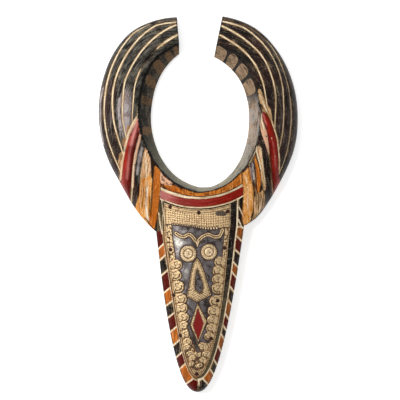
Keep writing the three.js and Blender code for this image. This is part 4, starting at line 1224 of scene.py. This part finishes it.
def woodFinish():
    finish = newFinish("paintedWood", woodPaint, woodGrains)
    coats, stir, step, field = finish.coats, finish.stir, finish.step, finish.field
    fine, speck, patchy, broad = [finish.grains[name] for name in ("fine", "speck", "patchy", "broad")]
    along, across, bands = [field(name) for name in ("along", "across", "bands")]
    lengthwise = finish.streaks(along, across, *brush["lengthwise"])
    crosswise = finish.streaks(across, along, *brush["crosswise"])
    brushed = finish.streaks(across, along, *brush["brushed"])
    streak = lengthwise * (1 - bands) + crosswise * bands
    finish.grains.update(streak=streak, crosswise=crosswise, brushed=brushed)
    wobble = (fine - 0.5) * 1.5 + (patchy - 0.5) * 0.7
    tone = stir(field("tone"), patchy=0.3)

    def cover(name, soft=0.3):
        return step(field(name) + wobble, -soft, soft)

    def hem(name, width):  # dark line where a paint ends
        edge = field(name) + wobble
        return step(edge, -0.5, 0.0) * (1 - step(edge, width * 0.4, width))

    # black ground, rubbed brown beside the lines, worn to slate and maroon in places; painted lilac grey
    # highlights, and on the left horn more slate grey as painted sheen from the lamp on the left
    beside = step(stir(field("cream"), patchy=2), -2.4, -0.3)
    worn = stir(patchy, streak=0.5) + (field("slate") - 0.25) * 0.4
    reddened = stir(broad, streak=0.5, fine=0.6) - field("slate") * 0.4
    lilac = coats("lilac", ("lilacDeep", step(stir(patchy, fine=0.7), 0.42, 0.7)))
    rubbedBrown = coats("brown", ("ochre", step(stir(patchy, fine=1.2), 0.4, 0.7)))
    ground = coats(
        "black",
        ("slate", step(worn, 0.38, 0.86)),
        ("maroon", step(reddened + 0.08, 0.54, 0.76) * 0.65),
        (lilac, step(stir(field("rubbed"), streak=0.6, patchy=0.9), 0.25, 0.95)),
        (rubbedBrown, beside * step(stir(streak, fine=1.5), 0.3, 0.7) * 0.9),
        ("dust", step(stir(speck, streak=0.2, patchy=0.5), 0.66, 0.74) * 0.8),
        ("olive", cover("olive", 0.8) * (0.3 + 0.6 * streak)))

    lit = stir(tone, brushed=0.8, crosswise=0.5, fine=1.5)
    orange = coats(
        "orangeDeep",
        ("orange", step(lit, 0.1, 0.95)),
        ("orangePale", step(lit, 0.75, 1.3)),
        ("brown", step(lit, 0.1, -0.5) * 0.7),
        ("crack", hem("orange", 1.2) * 0.75),
        ("crack", step(stir(crosswise, broad=0.6, fine=0.8), 0.1, -0.04) * 0.7))
    tan = coats(
        "tanDeep",
        ("tan", step(lit, 0.15, 0.85)),
        ("primer", step(stir(patchy, brushed=0.5), 0.5, 0.7) * step(tone, 0.5, 0.75) * 0.6),
        ("crack", step(stir(crosswise, fine=0.4), 0.14, 0.02) * 0.6))
    red = coats(
        "redDark",
        ("red", step(stir(tone, streak=0.35, fine=0.5), 0.15, 0.85)),
        ("plum", field("plum") * (0.5 + 0.5 * streak)),
        ("shine", step(stir(field("sheen"), streak=0.5, fine=0.8), -0.1, 1.9) * 0.9),
        ("crack", hem("red", 0.8) * 0.4),
        ("dust", step(speck, 0.68, 0.74) * 0.6))
    creamPaint = coats(
        "cream",
        ("creamWorn", step(stir(patchy, streak=0.45), 0.45, 0.68)),
        ("brown", step(stir(fine, patchy=0.6), 0.62, 0.74) * 0.6))

    # wall of the hole: the left wall dark as painted shade, as it faces away from the lamp, the right wall
    # warm grey as painted light where it faces it, and the foot of the ring paler as painted light where it
    # faces the lamp beyond the horns
    toRight, upward, _ = finish.parts(finish.place())
    blotch = stir(field("blotch"), patchy=0.7, fine=0.9)
    mottle = stir(patchy, fine=1.2, streak=0.3)
    deep = field("depth") - 0.5
    shadedLeftWall = coats(
        "wall",
        ("wallWorn", step(mottle + deep * 0.25, 0.48, 0.68) * 0.8),
        ("wallBrown", step(blotch, 0.3, 0.9)),
        ("black", step(mottle, 0.46, 0.34) * 0.75))
    bareBlock = coats("wallTan", ("wallTanDeep", step(stir(patchy, fine=1.8, streak=0.4), 0.38, 0.8) * 0.9))
    litRightWall = coats(
        "wallRight",
        ("lilac", step(stir(patchy, fine=0.8), 0.45, 0.6) * 0.6),
        ("wallPink", step(stir(broad, patchy=0.8), 0.5, 0.6) * 0.75),
        ("wallParting", step(stir(streak, patchy=1.2, fine=0.8) + deep * -0.5, 0.5, 1.05) * 0.7),
        ("wallParting", step(upward, 0.128, 0.15)),
        (bareBlock, step(blotch, 0.45, 0.85)))
    foot = coats(
        "wallFoot",
        ("wallFootPale", step(toRight, -0.05, 0.0)),
        ("wall", step(stir(lengthwise, fine=1.2) - deep * 0.5, 0.45, 1.0) * 0.75))
    bothWalls = coats(shadedLeftWall, (litRightWall, step(toRight, -0.004, 0.012)))
    wall = coats(
        foot,
        (bothWalls, step(stir(upward, patchy=0.03), 0.035, 0.1)),
        ("wallWorn", step(stir(speck, patchy=0.6), 0.56, 0.68) * 0.5),
        ("black", step(stir(fine, streak=0.3, patchy=0.7), 0.55, 0.72) * 0.7))

    onWall = step(field("wall"), 0.35, 0.65)
    onBack = step(field("back"), 0.4, 0.6)
    cream = cover("cream", 0.35)
    colour = coats(
        ground,
        (orange, cover("orange")),
        (tan, cover("tan", 0.9) * step(stir(crosswise, patchy=0.6), 0.1, 0.28)),
        ("glint", step(stir(field("sheen"), crosswise=0.9, fine=0.8), 0.2, 1.3) * 0.8),
        ("primer", cover("pink", 0.8) * step(stir(patchy, fine=0.6), 0.26, 0.4) * 0.9),
        (red, cover("red")),
        (wall, onWall),
        (coats("crack", ("black", onWall)), cover("dark", 0.4)),
        (creamPaint, cream),
        (coats("bareWood", ("bareWoodDark", step(crosswise, 0.3, 0.9))), onBack))
    rough = 0.34 + 0.2 * cream + 0.16 * cover("orange") + 0.3 * (fine - 0.5) + 0.34 * onWall + 0.3 * onBack
    grainy = finish.bump(fine, 0.35, finish.bump(streak, 0.3))
    finish.set({"Base Color": colour, "Roughness": rough, "Normal": grainy, "Specular IOR Level": 0.06})
    return finish.owner


# Embossed plate

plate = {
    "columns": 156, "faceRows": 366, "headRows": 58, "underColumns": 12,
    "topRadius": 121.8, "thickness": 1.1, "gap": 0.3, "ornament": 0.7,
    "strips": (10.0, 6.6), "curlsDownTo": -76, "curlSize": 3.2, "ribPitch": 2.4,
    "muzzleRibs": 2.6, "muzzleTop": -186, "punchSpacing": 2.9,
    # headband: rows of dots, their pitch, the edge of its plain top, its lower edge, and the beads along it
    "bandRows": 8.5, "bandDots": 3.2, "bandLine": 4.6,
    "headbandLow": [(-40, -27), (-20, -28.5), (-4, -30.5), (14, -33), (40, -31)],
    "beads": [(-36, 0), (-5, 14), (5, 17.5), (27, 23.6)],            # bead number along x
    "beadPitch": [(-36, 2.2), (-5, 2.2), (8, 3.6), (30, 3.6)], "beadRow": 0.2, "beadSize": 0.33,
    "ropePitch": 2.2, "ropeWidth": 2, "hatchPitch": 3.1, "rimPitch": 2.2, "eyeTicks": 25, "edge": 1.5,
    "pit": (4.4, -117.8), "smudge": (30.5, -12.5, 8, 4),
    "brows": [
        [(-29.6, -39.3), (-24.2, -42.7), (-18.9, -43.7), (-13.6, -41.1), (-9.6, -42), (-4.3, -48),
            (-0.9, -52.7)],
        [(-0.9, -52.7), (2.4, -46.7), (7.7, -42.7), (14.4, -40.9), (21, -43.7), (27.7, -43.3), (31, -38.7),
            (32.4, -34.7)],
    ],
    "knot": [(-4.2, -48.5), (-0.9, -50.5), (2.4, -47.5), (0.4, -55), (-0.9, -58.5), (-2.2, -55)],
    "eyes": [{"x": -13.2, "y": -66.4, "outer": 11.3, "groove": 6.3, "disc": 5.4},
             {"x": 14.4, "y": -64.2, "outer": 11, "groove": 6.1, "disc": 5.2}],
    "nose": [(-1.3, -71.5), (3.7, -79), (8.8, -91.8), (14.8, -112.2), (17.7, -121.6), (-1.3, -131.4),
             (-15.6, -123.5), (-13.2, -112.2), (-9.9, -91.8), (-6.4, -79)],
    "channel": [(-1.4, -88), (2.4, -97), (6, -107), (6.4, -113), (2, -118.5), (-3.4, -114), (-3.8, -105),
                (-2.8, -96)],
    "lozenge": [(-0.8, -132.3), (11.9, -156.8), (0.1, -185.1), (-10.7, -161.7)],
    "lozengeRed": [(-0.4, -140), (7, -159.7), (0.2, -180.6), (-6.4, -162.6)],
    "recess": [(-12.6, -163), (-8.5, -176), (-4, -187), (0, -196)],
    # painted silver reflections on the dark ground, mostly on its left: x, y, half sizes, strength
    "silver": [
        (-27, -44, 8, 15, 0.9), (-25, -60, 5, 12, 0.7), (-14, -52, 8, 3, 0.6), (-16, -91, 6, 13, 0.85),
        (-2, -40, 14, 3, 0.45), (6, -110, 3, 6, 0.4), (-9, -150, 4, 8, 0.3),
    ],
    # scrolls: x, y, radius
    "leftScrolls": [(-28.5, -81.7, 7.5), (-29.8, -94.9, 7.9), (-26.9, -110.6, 8.4), (-22.9, -126.8, 8.4),
                    (-21.2, -139.3, 7.5), (-18.9, -151.3, 7.0), (-18.5, -163, 6.8), (-15.8, -174.5, 6.4),
                    (-13.3, -184.5, 5.7), (-10.9, -195.8, 5.7)],
    "rightScrolls": [(28.1, -77.3, 6.9), (25.8, -89.3, 6.9), (25, -100.7, 6.9), (25.3, -112.7, 7.6),
                     (22.4, -129.8, 8.1), (20, -143.2, 7.6), (18.1, -154.8, 6.7), (16.5, -165.7, 6.3),
                     (13.8, -176.6, 5.8)],
    "lowScrolls": [(5, -191, 6.2), (-15, -192, 5.4), (-11.5, -201, 5.2), (1, -201.5, 5.4), (10, -201, 5.4),
                   (-6.5, -206.5, 4.7), (5, -209.5, 4.9), (-8, -214, 4.0), (-1.5, -217.5, 4.0),
                   (3.5, -216, 3.4)],
}
plateFields = {"gold": 0.0, "crevice": 0.0, "raised": 0.0, "redPaint": -4.0, "smudge": 0.0, "silver": 0.0}


def plateFlat():  # the plate's outline and its rows, as points on the plane
    share = np.linspace(0, 1, plate["faceRows"] + 1) ** 1.25
    loop = face["plateEdge"]
    edges = [loopPoint(loop, side, lerp(loop["tip"], face["notch"][side], share)) for side in (-1, 1)]
    across = np.linspace(0, 1, plate["columns"] + 1)[None, :, None]
    lower = lerp(edges[0][:, None], edges[1][:, None], across)
    degrees = lerp(*face["panelDegrees"], across[0, :, 0])
    at = straight(lower[-1], onRing(1, degrees, ringRadius("creaseAt", degrees)))
    end = at(crossing(at, lambda degrees: plate["topRadius"] + 0 * degrees, len(degrees)))[:, 0]
    up = (np.arange(1, plate["headRows"] + 1) / plate["headRows"])[:, None, None]
    return np.concatenate([lower, lerp(lower[-1:], end[None], up)])


def dome(distance, radius):
    return np.sqrt(np.clip(1 - (distance / radius) ** 2, 0, 1))


def wave(position, pitch):  # 0 to 1 and back once every pitch
    return 0.5 + 0.5 * np.cos(2 * np.pi * position / pitch)


elsewhere = 9.0  # a distance at which a groove no longer shows


class Sheet:  # the plate under the hammer: height over the sheet, dirt in its crevices, gilding above zero
    def __init__(self, x, y):
        self.x, self.y = x, y
        self.height = 0.1 + 0.25 * uneven(x, y, 7, 53)
        self.dirt = np.zeros(x.shape)
        self.gilt = np.full(x.shape, -4.0)

    def form(self, inside, height, outline=0.9, width=0.8, gilt=True):  # a shape, a dark crevice round it
        share = smooth(-0.4, 0.4, inside)
        self.height = lerp(self.height, height, share)
        self.dirt = self.dirt * (1 - share)
        self.gilt = np.maximum(self.gilt, inside) if gilt else np.minimum(self.gilt, -inside)
        self.groove(inside + 0.2, width, 0.25, outline)

    def groove(self, distance, width, depth, strength):
        line = np.exp(-(distance / width) ** 2)
        self.height = self.height - depth * line
        self.dirt = np.maximum(self.dirt, strength * line)

    def stain(self, where, amount):
        self.dirt = np.maximum(self.dirt, np.where(where, amount, 0))

    def toNearest(self, cell, seed):  # distance to the nearest of many scattered points, one in every cell
        distance = np.full(self.x.shape, elsewhere)
        for p in (-1, 0, 1):
            for q in (-1, 0, 1):
                i, j = np.floor(self.x / cell) + p, np.floor(self.y / cell) + q
                atX = (i + 0.5 + 0.42 * uneven(i, j, 1, seed)) * cell
                atY = (j + 0.5 + 0.42 * uneven(i, j, 1, seed + 1)) * cell
                distance = np.minimum(distance, np.hypot(self.x - atX, self.y - atY))
        return distance

    def pits(self, mask, cell, seed, strength):  # small punch marks
        mark = np.exp(-(self.toNearest(cell, seed) / 0.62) ** 2) * mask
        self.height = self.height - 0.3 * mark
        self.stain(True, strength * mark * (0.8 + 0.5 * uneven(self.x, self.y, 5, seed + 2)))

    def scroll(self, cx, cy, size, inward):  # a curl that opens to the side strip, dark towards the middle
        dx, dy = (self.x - cx) * inward, self.y - cy
        turn = np.arctan2(dy, dx)
        distance = np.hypot(np.where(dx < 0, dx * 0.7, dx), dy) * (1 + 0.08 * uneven(self.x, self.y, 3, 57))
        self.form(size - distance, 0.5 + 0.5 * dome(distance, size * 1.02), 0.0)
        facing, inner = smooth(-0.7, 0.1, np.cos(turn + 0.45)), smooth(-0.2, 0.35, np.cos(turn + 1.0))
        heart = np.hypot(dx + size * 0.15, dy - size * 0.25)
        self.groove(distance - size - 0.1 + elsewhere * (1 - facing), 0.9, 0.35, 1.0)
        self.groove(distance - size * 0.6 + elsewhere * (1 - inner), 0.8, 0.5, 0.95)
        self.groove(heart - size * 0.3 + elsewhere * (dx > 0), 0.6, 0.35, 0.7)


def embossSides(sheet, fromLeft, fromRight):  # curls above, ribs below, then the scrolls over them
    x, y = sheet.x, sheet.y
    strip = np.where(x < 0, plate["strips"][0] - fromLeft, plate["strips"][1] - fromRight)
    upper = y > plate["curlsDownTo"]
    ribs = wave(y + 0.5 * uneven(x, y, 3, 58), plate["ribPitch"])
    cell = sheet.toNearest(plate["curlSize"], 83)
    sheet.form(strip, np.where(upper, 0.3 + 0.7 * dome(cell, 1.8), 0.4 + 0.5 * ribs), 0.9)
    sheet.stain(strip > 0.3, np.where(upper, 0.75 * smooth(1.5, 2.1, cell), 0.7 * smooth(0.4, 0.1, ribs)))
    low = plate["muzzleTop"] - y
    ribs = wave(x + 0.6 * y, plate["muzzleRibs"])
    sheet.form(low, 0.3 + 0.5 * ribs, 0.4)
    sheet.stain(low > 0, 0.5 * smooth(0.5, 0.1, ribs))
    for name, inward in (("leftScrolls", 1), ("rightScrolls", -1), ("lowScrolls", 1)):
        for k, (cx, cy, size) in enumerate(plate[name]):
            sheet.scroll(cx, cy, size, inward if name != "lowScrolls" or k % 2 else -1)
    below = y < plate["headbandLow"][0][1]
    sheet.pits(smooth(0.4, 1.0, sheet.gilt) * below, plate["punchSpacing"], 91, 0.85)


def embossHeadband(sheet, fromTop):  # plain at the top, then rows of dots, closed below by a row of beads
    x, y = sheet.x, sheet.y
    inBand = y - through(plate["headbandLow"])(x)
    rows = fromTop / np.maximum(fromTop + inBand, 1) * plate["bandRows"] + 0.15 * uneven(x, y, 5, 84)
    alongRow = wave(x + 0.5 * uneven(x, y, 4, 85), plate["bandDots"])
    dots = (1 - alongRow) * (1 - wave(rows, 1))
    dotted = smooth(4.4, 5.4, fromTop) * smooth(2.2, 3.2, inBand)
    sheet.form(inBand, 0.7 + dotted * (0.3 * alongRow * wave(rows, 1) - 0.5 * dots), 0.9)
    pits = smooth(0.35, 0.8, dots) * (0.75 + 0.5 * uneven(x, y, 4, 59))
    sheet.stain(inBand > 0.5, 0.9 * dotted * pits * lerp(0.55, 1.1, smooth(14, 4, inBand)))
    sheet.groove(np.where(inBand > 0, fromTop - plate["bandLine"], elsewhere), 0.5, 0.35, 0.6)
    number, pitch = through(plate["beads"])(x), through(plate["beadPitch"])(x)
    above = inBand - plate["beadRow"]
    fromBead = np.hypot((number - np.round(number)) * pitch, above * 0.7)
    beaded = (x > plate["beads"][0][0]) & (x < plate["beads"][-1][0]) & (np.abs(above) < 2.4)
    bead = np.where(beaded, pitch * plate["beadSize"] - fromBead, -3)
    # dark gaps and dark line along the bead row: patina between the beads and painted shadow under them,
    # deeper on the right
    sheet.stain(beaded, smooth(2.6, 1.2, np.abs(inBand + 0.3)) * lerp(0.7, 1.2, smooth(0, 8, x)))
    sheet.form(bead, 0.5 + 1.1 * dome(fromBead, pitch * 0.5), 0.9, 0.4)


def embossBrows(sheet):  # two ribs side by side that meet in a knot
    x, y = sheet.x, sheet.y
    for points in plate["brows"]:
        distance, along = pathDistance(x, y, freehand(points))
        rib = dome(np.abs(distance - 1.4), 1.2) * (0.8 + 0.2 * wave(along, 2.1))
        sheet.form(2.6 - distance, 0.35 + 0.9 * rib, 1.0, 0.8)
        sheet.groove(distance, 0.6, 0.5, 0.95)
    sheet.form(insidePolygon(x, y, plate["knot"]), 1.2, 0.8, 0.5)


def embossNose(sheet):  # roped edges outside and round the sunk channel, with a band between them
    x, y = sheet.x, sheet.y
    nose = insidePolygon(x, y, plate["nose"])
    channel = insidePolygon(x, y, plate["channel"])
    rope = wave(pathDistance(x, y, plate["nose"] + plate["nose"][:1])[1], plate["ropePitch"])
    onRope = np.maximum(smooth(1.9, 1.5, nose), smooth(-1.9, -1.5, channel))
    hatch = wave(y + 0.6 * np.abs(x + 1) + 0.8 * uneven(x, y, 4, 86), plate["hatchPitch"])
    footShare = lerp(0.3, 1.0, smooth(-106, -118, y))
    sheet.form(nose, lerp(0.75 + 0.3 * hatch * footShare, 0.5 + 0.6 * rope, onRope), 1.0, 0.9)
    hatched = 0.65 * footShare * smooth(0.45, 0.1, hatch)
    sheet.stain(nose > 0.5, lerp(hatched, smooth(0.6, 0.1, rope), onRope))
    sheet.groove(np.where(nose > 0, nose - plate["ropeWidth"], elsewhere), 0.4, 0.35, 0.75)
    sheet.groove(np.where(nose > 0, channel + plate["ropeWidth"], elsewhere), 0.4, 0.35, 0.7)
    sheet.form(channel, 0.1, 1.0, 0.8, gilt=False)
    sheet.groove(np.hypot(x - plate["pit"][0], y - plate["pit"][1]), 2.0, 0.3, 1.6)


def embossMouth(sheet):  # a lozenge with a ribbed rim, painted in the middle, and the dark recess beside it
    x, y = sheet.x, sheet.y
    lozenge = insidePolygon(x, y, plate["lozenge"])
    painted = insidePolygon(x, y, plate["lozengeRed"]) + 0.4 * wave(y, plate["rimPitch"]) * (x < 1)
    ribs = wave(y + 0.4 * np.abs(x), plate["rimPitch"])
    sheet.form(lozenge, 0.55 + 0.45 * ribs, 1.0, 0.8)
    sheet.stain(lozenge > 0.6, 0.55 * smooth(0.4, 0.1, ribs))
    sheet.form(painted, 0.2, 0.8, 0.5)
    distance = pathDistance(x, y, plate["recess"])[0]
    sheet.form(np.where(lozenge > 0, -3, 1.9 - distance), 0.05, 1.0, 0.9, gilt=False)
    return painted


def embossEye(sheet, eye):  # a flat ring cut with ticks, a groove and a disc with a dot
    dx, dy = sheet.x - eye["x"], sheet.y - eye["y"]
    distance = np.hypot(dx, dy)
    inRing = eye["outer"] - distance
    ticks = wave(np.arctan2(dy, dx), 2 * np.pi / plate["eyeTicks"])
    ticks = 0.7 * smooth(0.35, 0.05, ticks) * smooth(3.4, 2.6, inRing)
    sheet.form(inRing, 1.25 - 0.35 * ticks - 0.5 * np.exp(-(inRing / 0.7) ** 2), 1.0, 0.9)
    sheet.stain(inRing > 0.3, ticks)
    sheet.groove(distance - eye["groove"], 0.8, 0.9, 0.62)
    sheet.height += 0.3 * np.exp(-((distance - eye["disc"] + 1.5) / 0.6) ** 2)
    sheet.groove(distance - eye["disc"] + 2.6, 0.4, 0.2, 0.4)
    sheet.groove(np.hypot(dx - 0.6, dy + 0.4), 0.7, 0.3, 0.9)


def makePlate():
    flat = plateFlat()
    fromLeft = np.linalg.norm(flat - flat[:, :1], axis=-1)
    fromRight = np.linalg.norm(flat - flat[:, -1:], axis=-1)
    under = raised(flat, surfaceHeight(*planes(flat)) + plate["gap"])
    base = under[..., 2] + plate["thickness"]
    x, y = planes(seen(raised(flat, base)))
    fromTop = polarOf(np.stack([x, y], -1))[1] - plate["topRadius"]

    sheet = Sheet(x, y)
    embossSides(sheet, fromLeft, fromRight)
    embossHeadband(sheet, fromTop)
    embossBrows(sheet)
    embossNose(sheet)
    painted = embossMouth(sheet)
    for eye in plate["eyes"]:
        embossEye(sheet, eye)
    # plain narrow rim
    rim = np.minimum(np.minimum(fromLeft, fromRight), fromTop)
    share = smooth(1.3, 0.8, rim)
    sheet.height = lerp(sheet.height, 0.55, share)
    sheet.dirt = lerp(sheet.dirt, np.where(x > 0, 0.32, 0.0), share)
    sheet.groove(rim - plate["edge"], 0.4, 0.25, 0.75)

    atX, atY, sizeX, sizeY = plate["smudge"]
    smudge = np.exp(-(((x - atX) / sizeX) ** 2 + ((y - atY) / sizeY) ** 2) ** 1.5)
    silver = sum(strength * np.exp(-((x - atX) / sizeX) ** 2 - ((y - atY) / sizeY) ** 2)
                 for atX, atY, sizeX, sizeY, strength in plate["silver"])
    dents = 0.1 * uneven(*planes(flat), 11, 51) + 0.06 * uneven(*planes(flat), 2.2, 52)
    top = raised(flat, base + sheet.height + dents)
    weave = Weave(plateFields)
    weave.grid(top, {"gold": np.clip(sheet.gilt, *paintRange), "crevice": np.clip(sheet.dirt, 0, 1),
                     "raised": np.clip(sheet.height / 1.5, 0, 1), "redPaint": np.clip(painted, *paintRange),
                     "smudge": smudge * (1.3 + 0.6 * uneven(x, y, 2.2, 55)), "silver": silver}, turned=True)
    rim = {"gold": 1.0, "raised": 0.5}
    for upper, lower in ((top[:, 0], under[:, 0]), (top[:, -1], under[:, -1]), (top[-1], under[-1])):
        weave.grid(np.stack([upper, lower], 1), rim)
    # a plain sheet below, in wide strips that end on the fine points of the top edge
    columns = np.round(np.linspace(0, plate["columns"], plate["underColumns"] + 1)).astype(int)
    lower = weave.grid(under[:-1, columns], rim)
    edge = weave.add(under[-1], rim)
    for k, (start, end) in enumerate(zip(columns[:-1], columns[1:])):
        weave.faces.append([int(lower[-1, k]), int(lower[-1, k + 1]), *edge[start:end + 1][::-1].tolist()])
    return weave.build("embossedPlate")


plateHues = palette({
    "goldLight": (246, 222, 190), "gold": (226, 194, 146), "goldDeep": (164, 118, 76),
    "crevice": (66, 44, 24), "gunmetal": (124, 116, 116), "gunmetalDark": (58, 50, 46),
    "silver": (206, 200, 190), "red": (126, 9, 2),
})


plateGrains = {"fine": (1.2, 4.0), "patchy": (8.0, 3.0), "speck": (1.5, 3.0)}


def plateFinish():
    finish = newFinish("embossedMetal", plateHues, plateGrains)
    coats, stir, step, field = finish.coats, finish.stir, finish.step, finish.field
    fine, patchy, speck = [finish.grains[name] for name in ("fine", "patchy", "speck")]
    high = stir(field("raised"), patchy=0.6, fine=0.9)
    # gold lighter on the high parts: rubbed bright there, and partly a painted highlight on their tops
    warm = coats(
        "goldDeep",
        ("gold", step(high, 0.15, 0.5)),
        ("goldLight", step(high, 0.65, 1.05) * 0.8))
    # gunmetal ground with painted silver reflections, mostly on its left
    cold = coats(
        "gunmetal",
        ("gunmetalDark", step(stir(patchy, fine=0.5), 0.42, 0.62)),
        ("silver", step(stir(field("silver"), patchy=2.0, fine=1.4), 0.4, 1.1) * 0.8))
    gold = step(stir(field("gold"), fine=0.7), -0.3, 0.4)
    dirt = step(stir(field("crevice"), fine=0.5) + step(speck, 0.54, 0.66) * 0.65 * gold, 0.2, 0.65)
    red = step(stir(field("redPaint"), fine=0.7), -0.2, 0.2)
    colour = coats(
        cold,
        (warm, gold),
        ("crevice", dirt * 0.9),
        ("gunmetalDark", step(stir(field("smudge"), fine=0.8), 0.35, 0.8) * 0.9),
        ("red", red))
    metal = (0.55 - 0.15 * gold) * (1 - red) * (1 - 0.8 * dirt)
    rough = 0.34 + 0.08 * gold + 0.25 * dirt + 0.1 * (patchy - 0.5)
    finish.set({"Base Color": colour, "Metallic": metal, "Roughness": rough,
                "Normal": finish.bump(fine, 0.14), "Specular IOR Level": 0.35})
    return finish.owner


# Tacks

# the heads are wider and darker than the tacks themselves, taking in the painted shadow round them
tack = {"radius": 2.6, "height": 1.52, "rise": 0.2, "rim": -0.9, "sides": 24, "rings": 6}
tackHues = palette({"iron": (50, 16, 9), "worn": (92, 46, 26)})


def makeTack(name, node):
    number = int(name[-2:])
    low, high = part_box(node)
    x, y = [float(value) / 2 / mm for value in (low + high)[:2]]
    around = np.array([(-1, 0), (1, 0), (0, -1), (0, 1), (0, 0)])
    west, east, south, north, ground = surfaceHeight(*(np.array([x, y]) + around).T).tolist()
    normal = Vector(((west - east) / 2, (south - north) / 2, 1)).normalized()
    seat = Vector((x, y, ground + plate["gap"] + plate["thickness"] + plate["ornament"]))
    turnUp = Vector((0, 0, 1)).rotation_difference(normal).to_matrix()
    sides, rings = tack["sides"], tack["rings"]
    points = []
    for i in range(-1, rings):  # first the rim below the plate, then up over the head, a little uneven
        angle = max(i, 0) / rings * math.pi / 2
        for turn in [2 * math.pi * j / sides for j in range(sides)]:
            hammered = 1 + 0.04 * math.sin(3 * turn + number) + 0.03 * math.sin(5 * turn + 2 * number)
            out = tack["radius"] * math.cos(angle) * hammered
            crown = tack["height"] * math.sin(angle) * (1 + 0.06 * math.sin(turn + number))
            up = tack["rim"] if i < 0 else tack["rise"] + crown
            points.append((out * math.cos(turn), out * math.sin(turn), up))
    points.append((0, 0, tack["rise"] + tack["height"]))
    pairs = [(j, (j + 1) % sides) for j in range(sides)]
    faces = [(i * sides + j, i * sides + k, (i + 1) * sides + k, (i + 1) * sides + j)
             for i in range(rings) for j, k in pairs]
    faces += [(rings * sides + j, rings * sides + k, len(points) - 1) for j, k in pairs]
    faces.append(tuple(reversed(range(sides))))
    mesh = bpy.data.meshes.new(name)
    mesh.from_pydata([tuple((turnUp @ Vector(point) + seat) * mm) for point in points], [], faces)
    mesh.shade_smooth()
    return addObject(name, mesh)


def tackFinish():
    finish = newFinish("tackIron", tackHues, {"fine": (1.1, 3.0)})
    fine = finish.grains["fine"]
    colour = finish.coats("iron", ("worn", finish.step(fine, 0.52, 0.72)))
    finish.set({"Base Color": colour, "Metallic": 0.15, "Roughness": 0.42 + 0.2 * fine,
                "Normal": finish.bump(fine, 0.15), "Specular IOR Level": 0.25})
    return finish.owner


setStage()
wood = makeWood()
wood.data.materials.append(woodFinish())
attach(wood, "root")
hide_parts("mask_wood")

facePlate = makePlate()
facePlate.data.materials.append(plateFinish())
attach(facePlate, "root")
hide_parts("face_plate")

iron = tackFinish()
for number in range(1, 11):
    node = f"tack_{number:02d}"
    piece = makeTack(f"tackHead_{number:02d}", node)
    piece.data.materials.append(iron)
    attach(piece, "root")
    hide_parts(node)
print("tacks set")
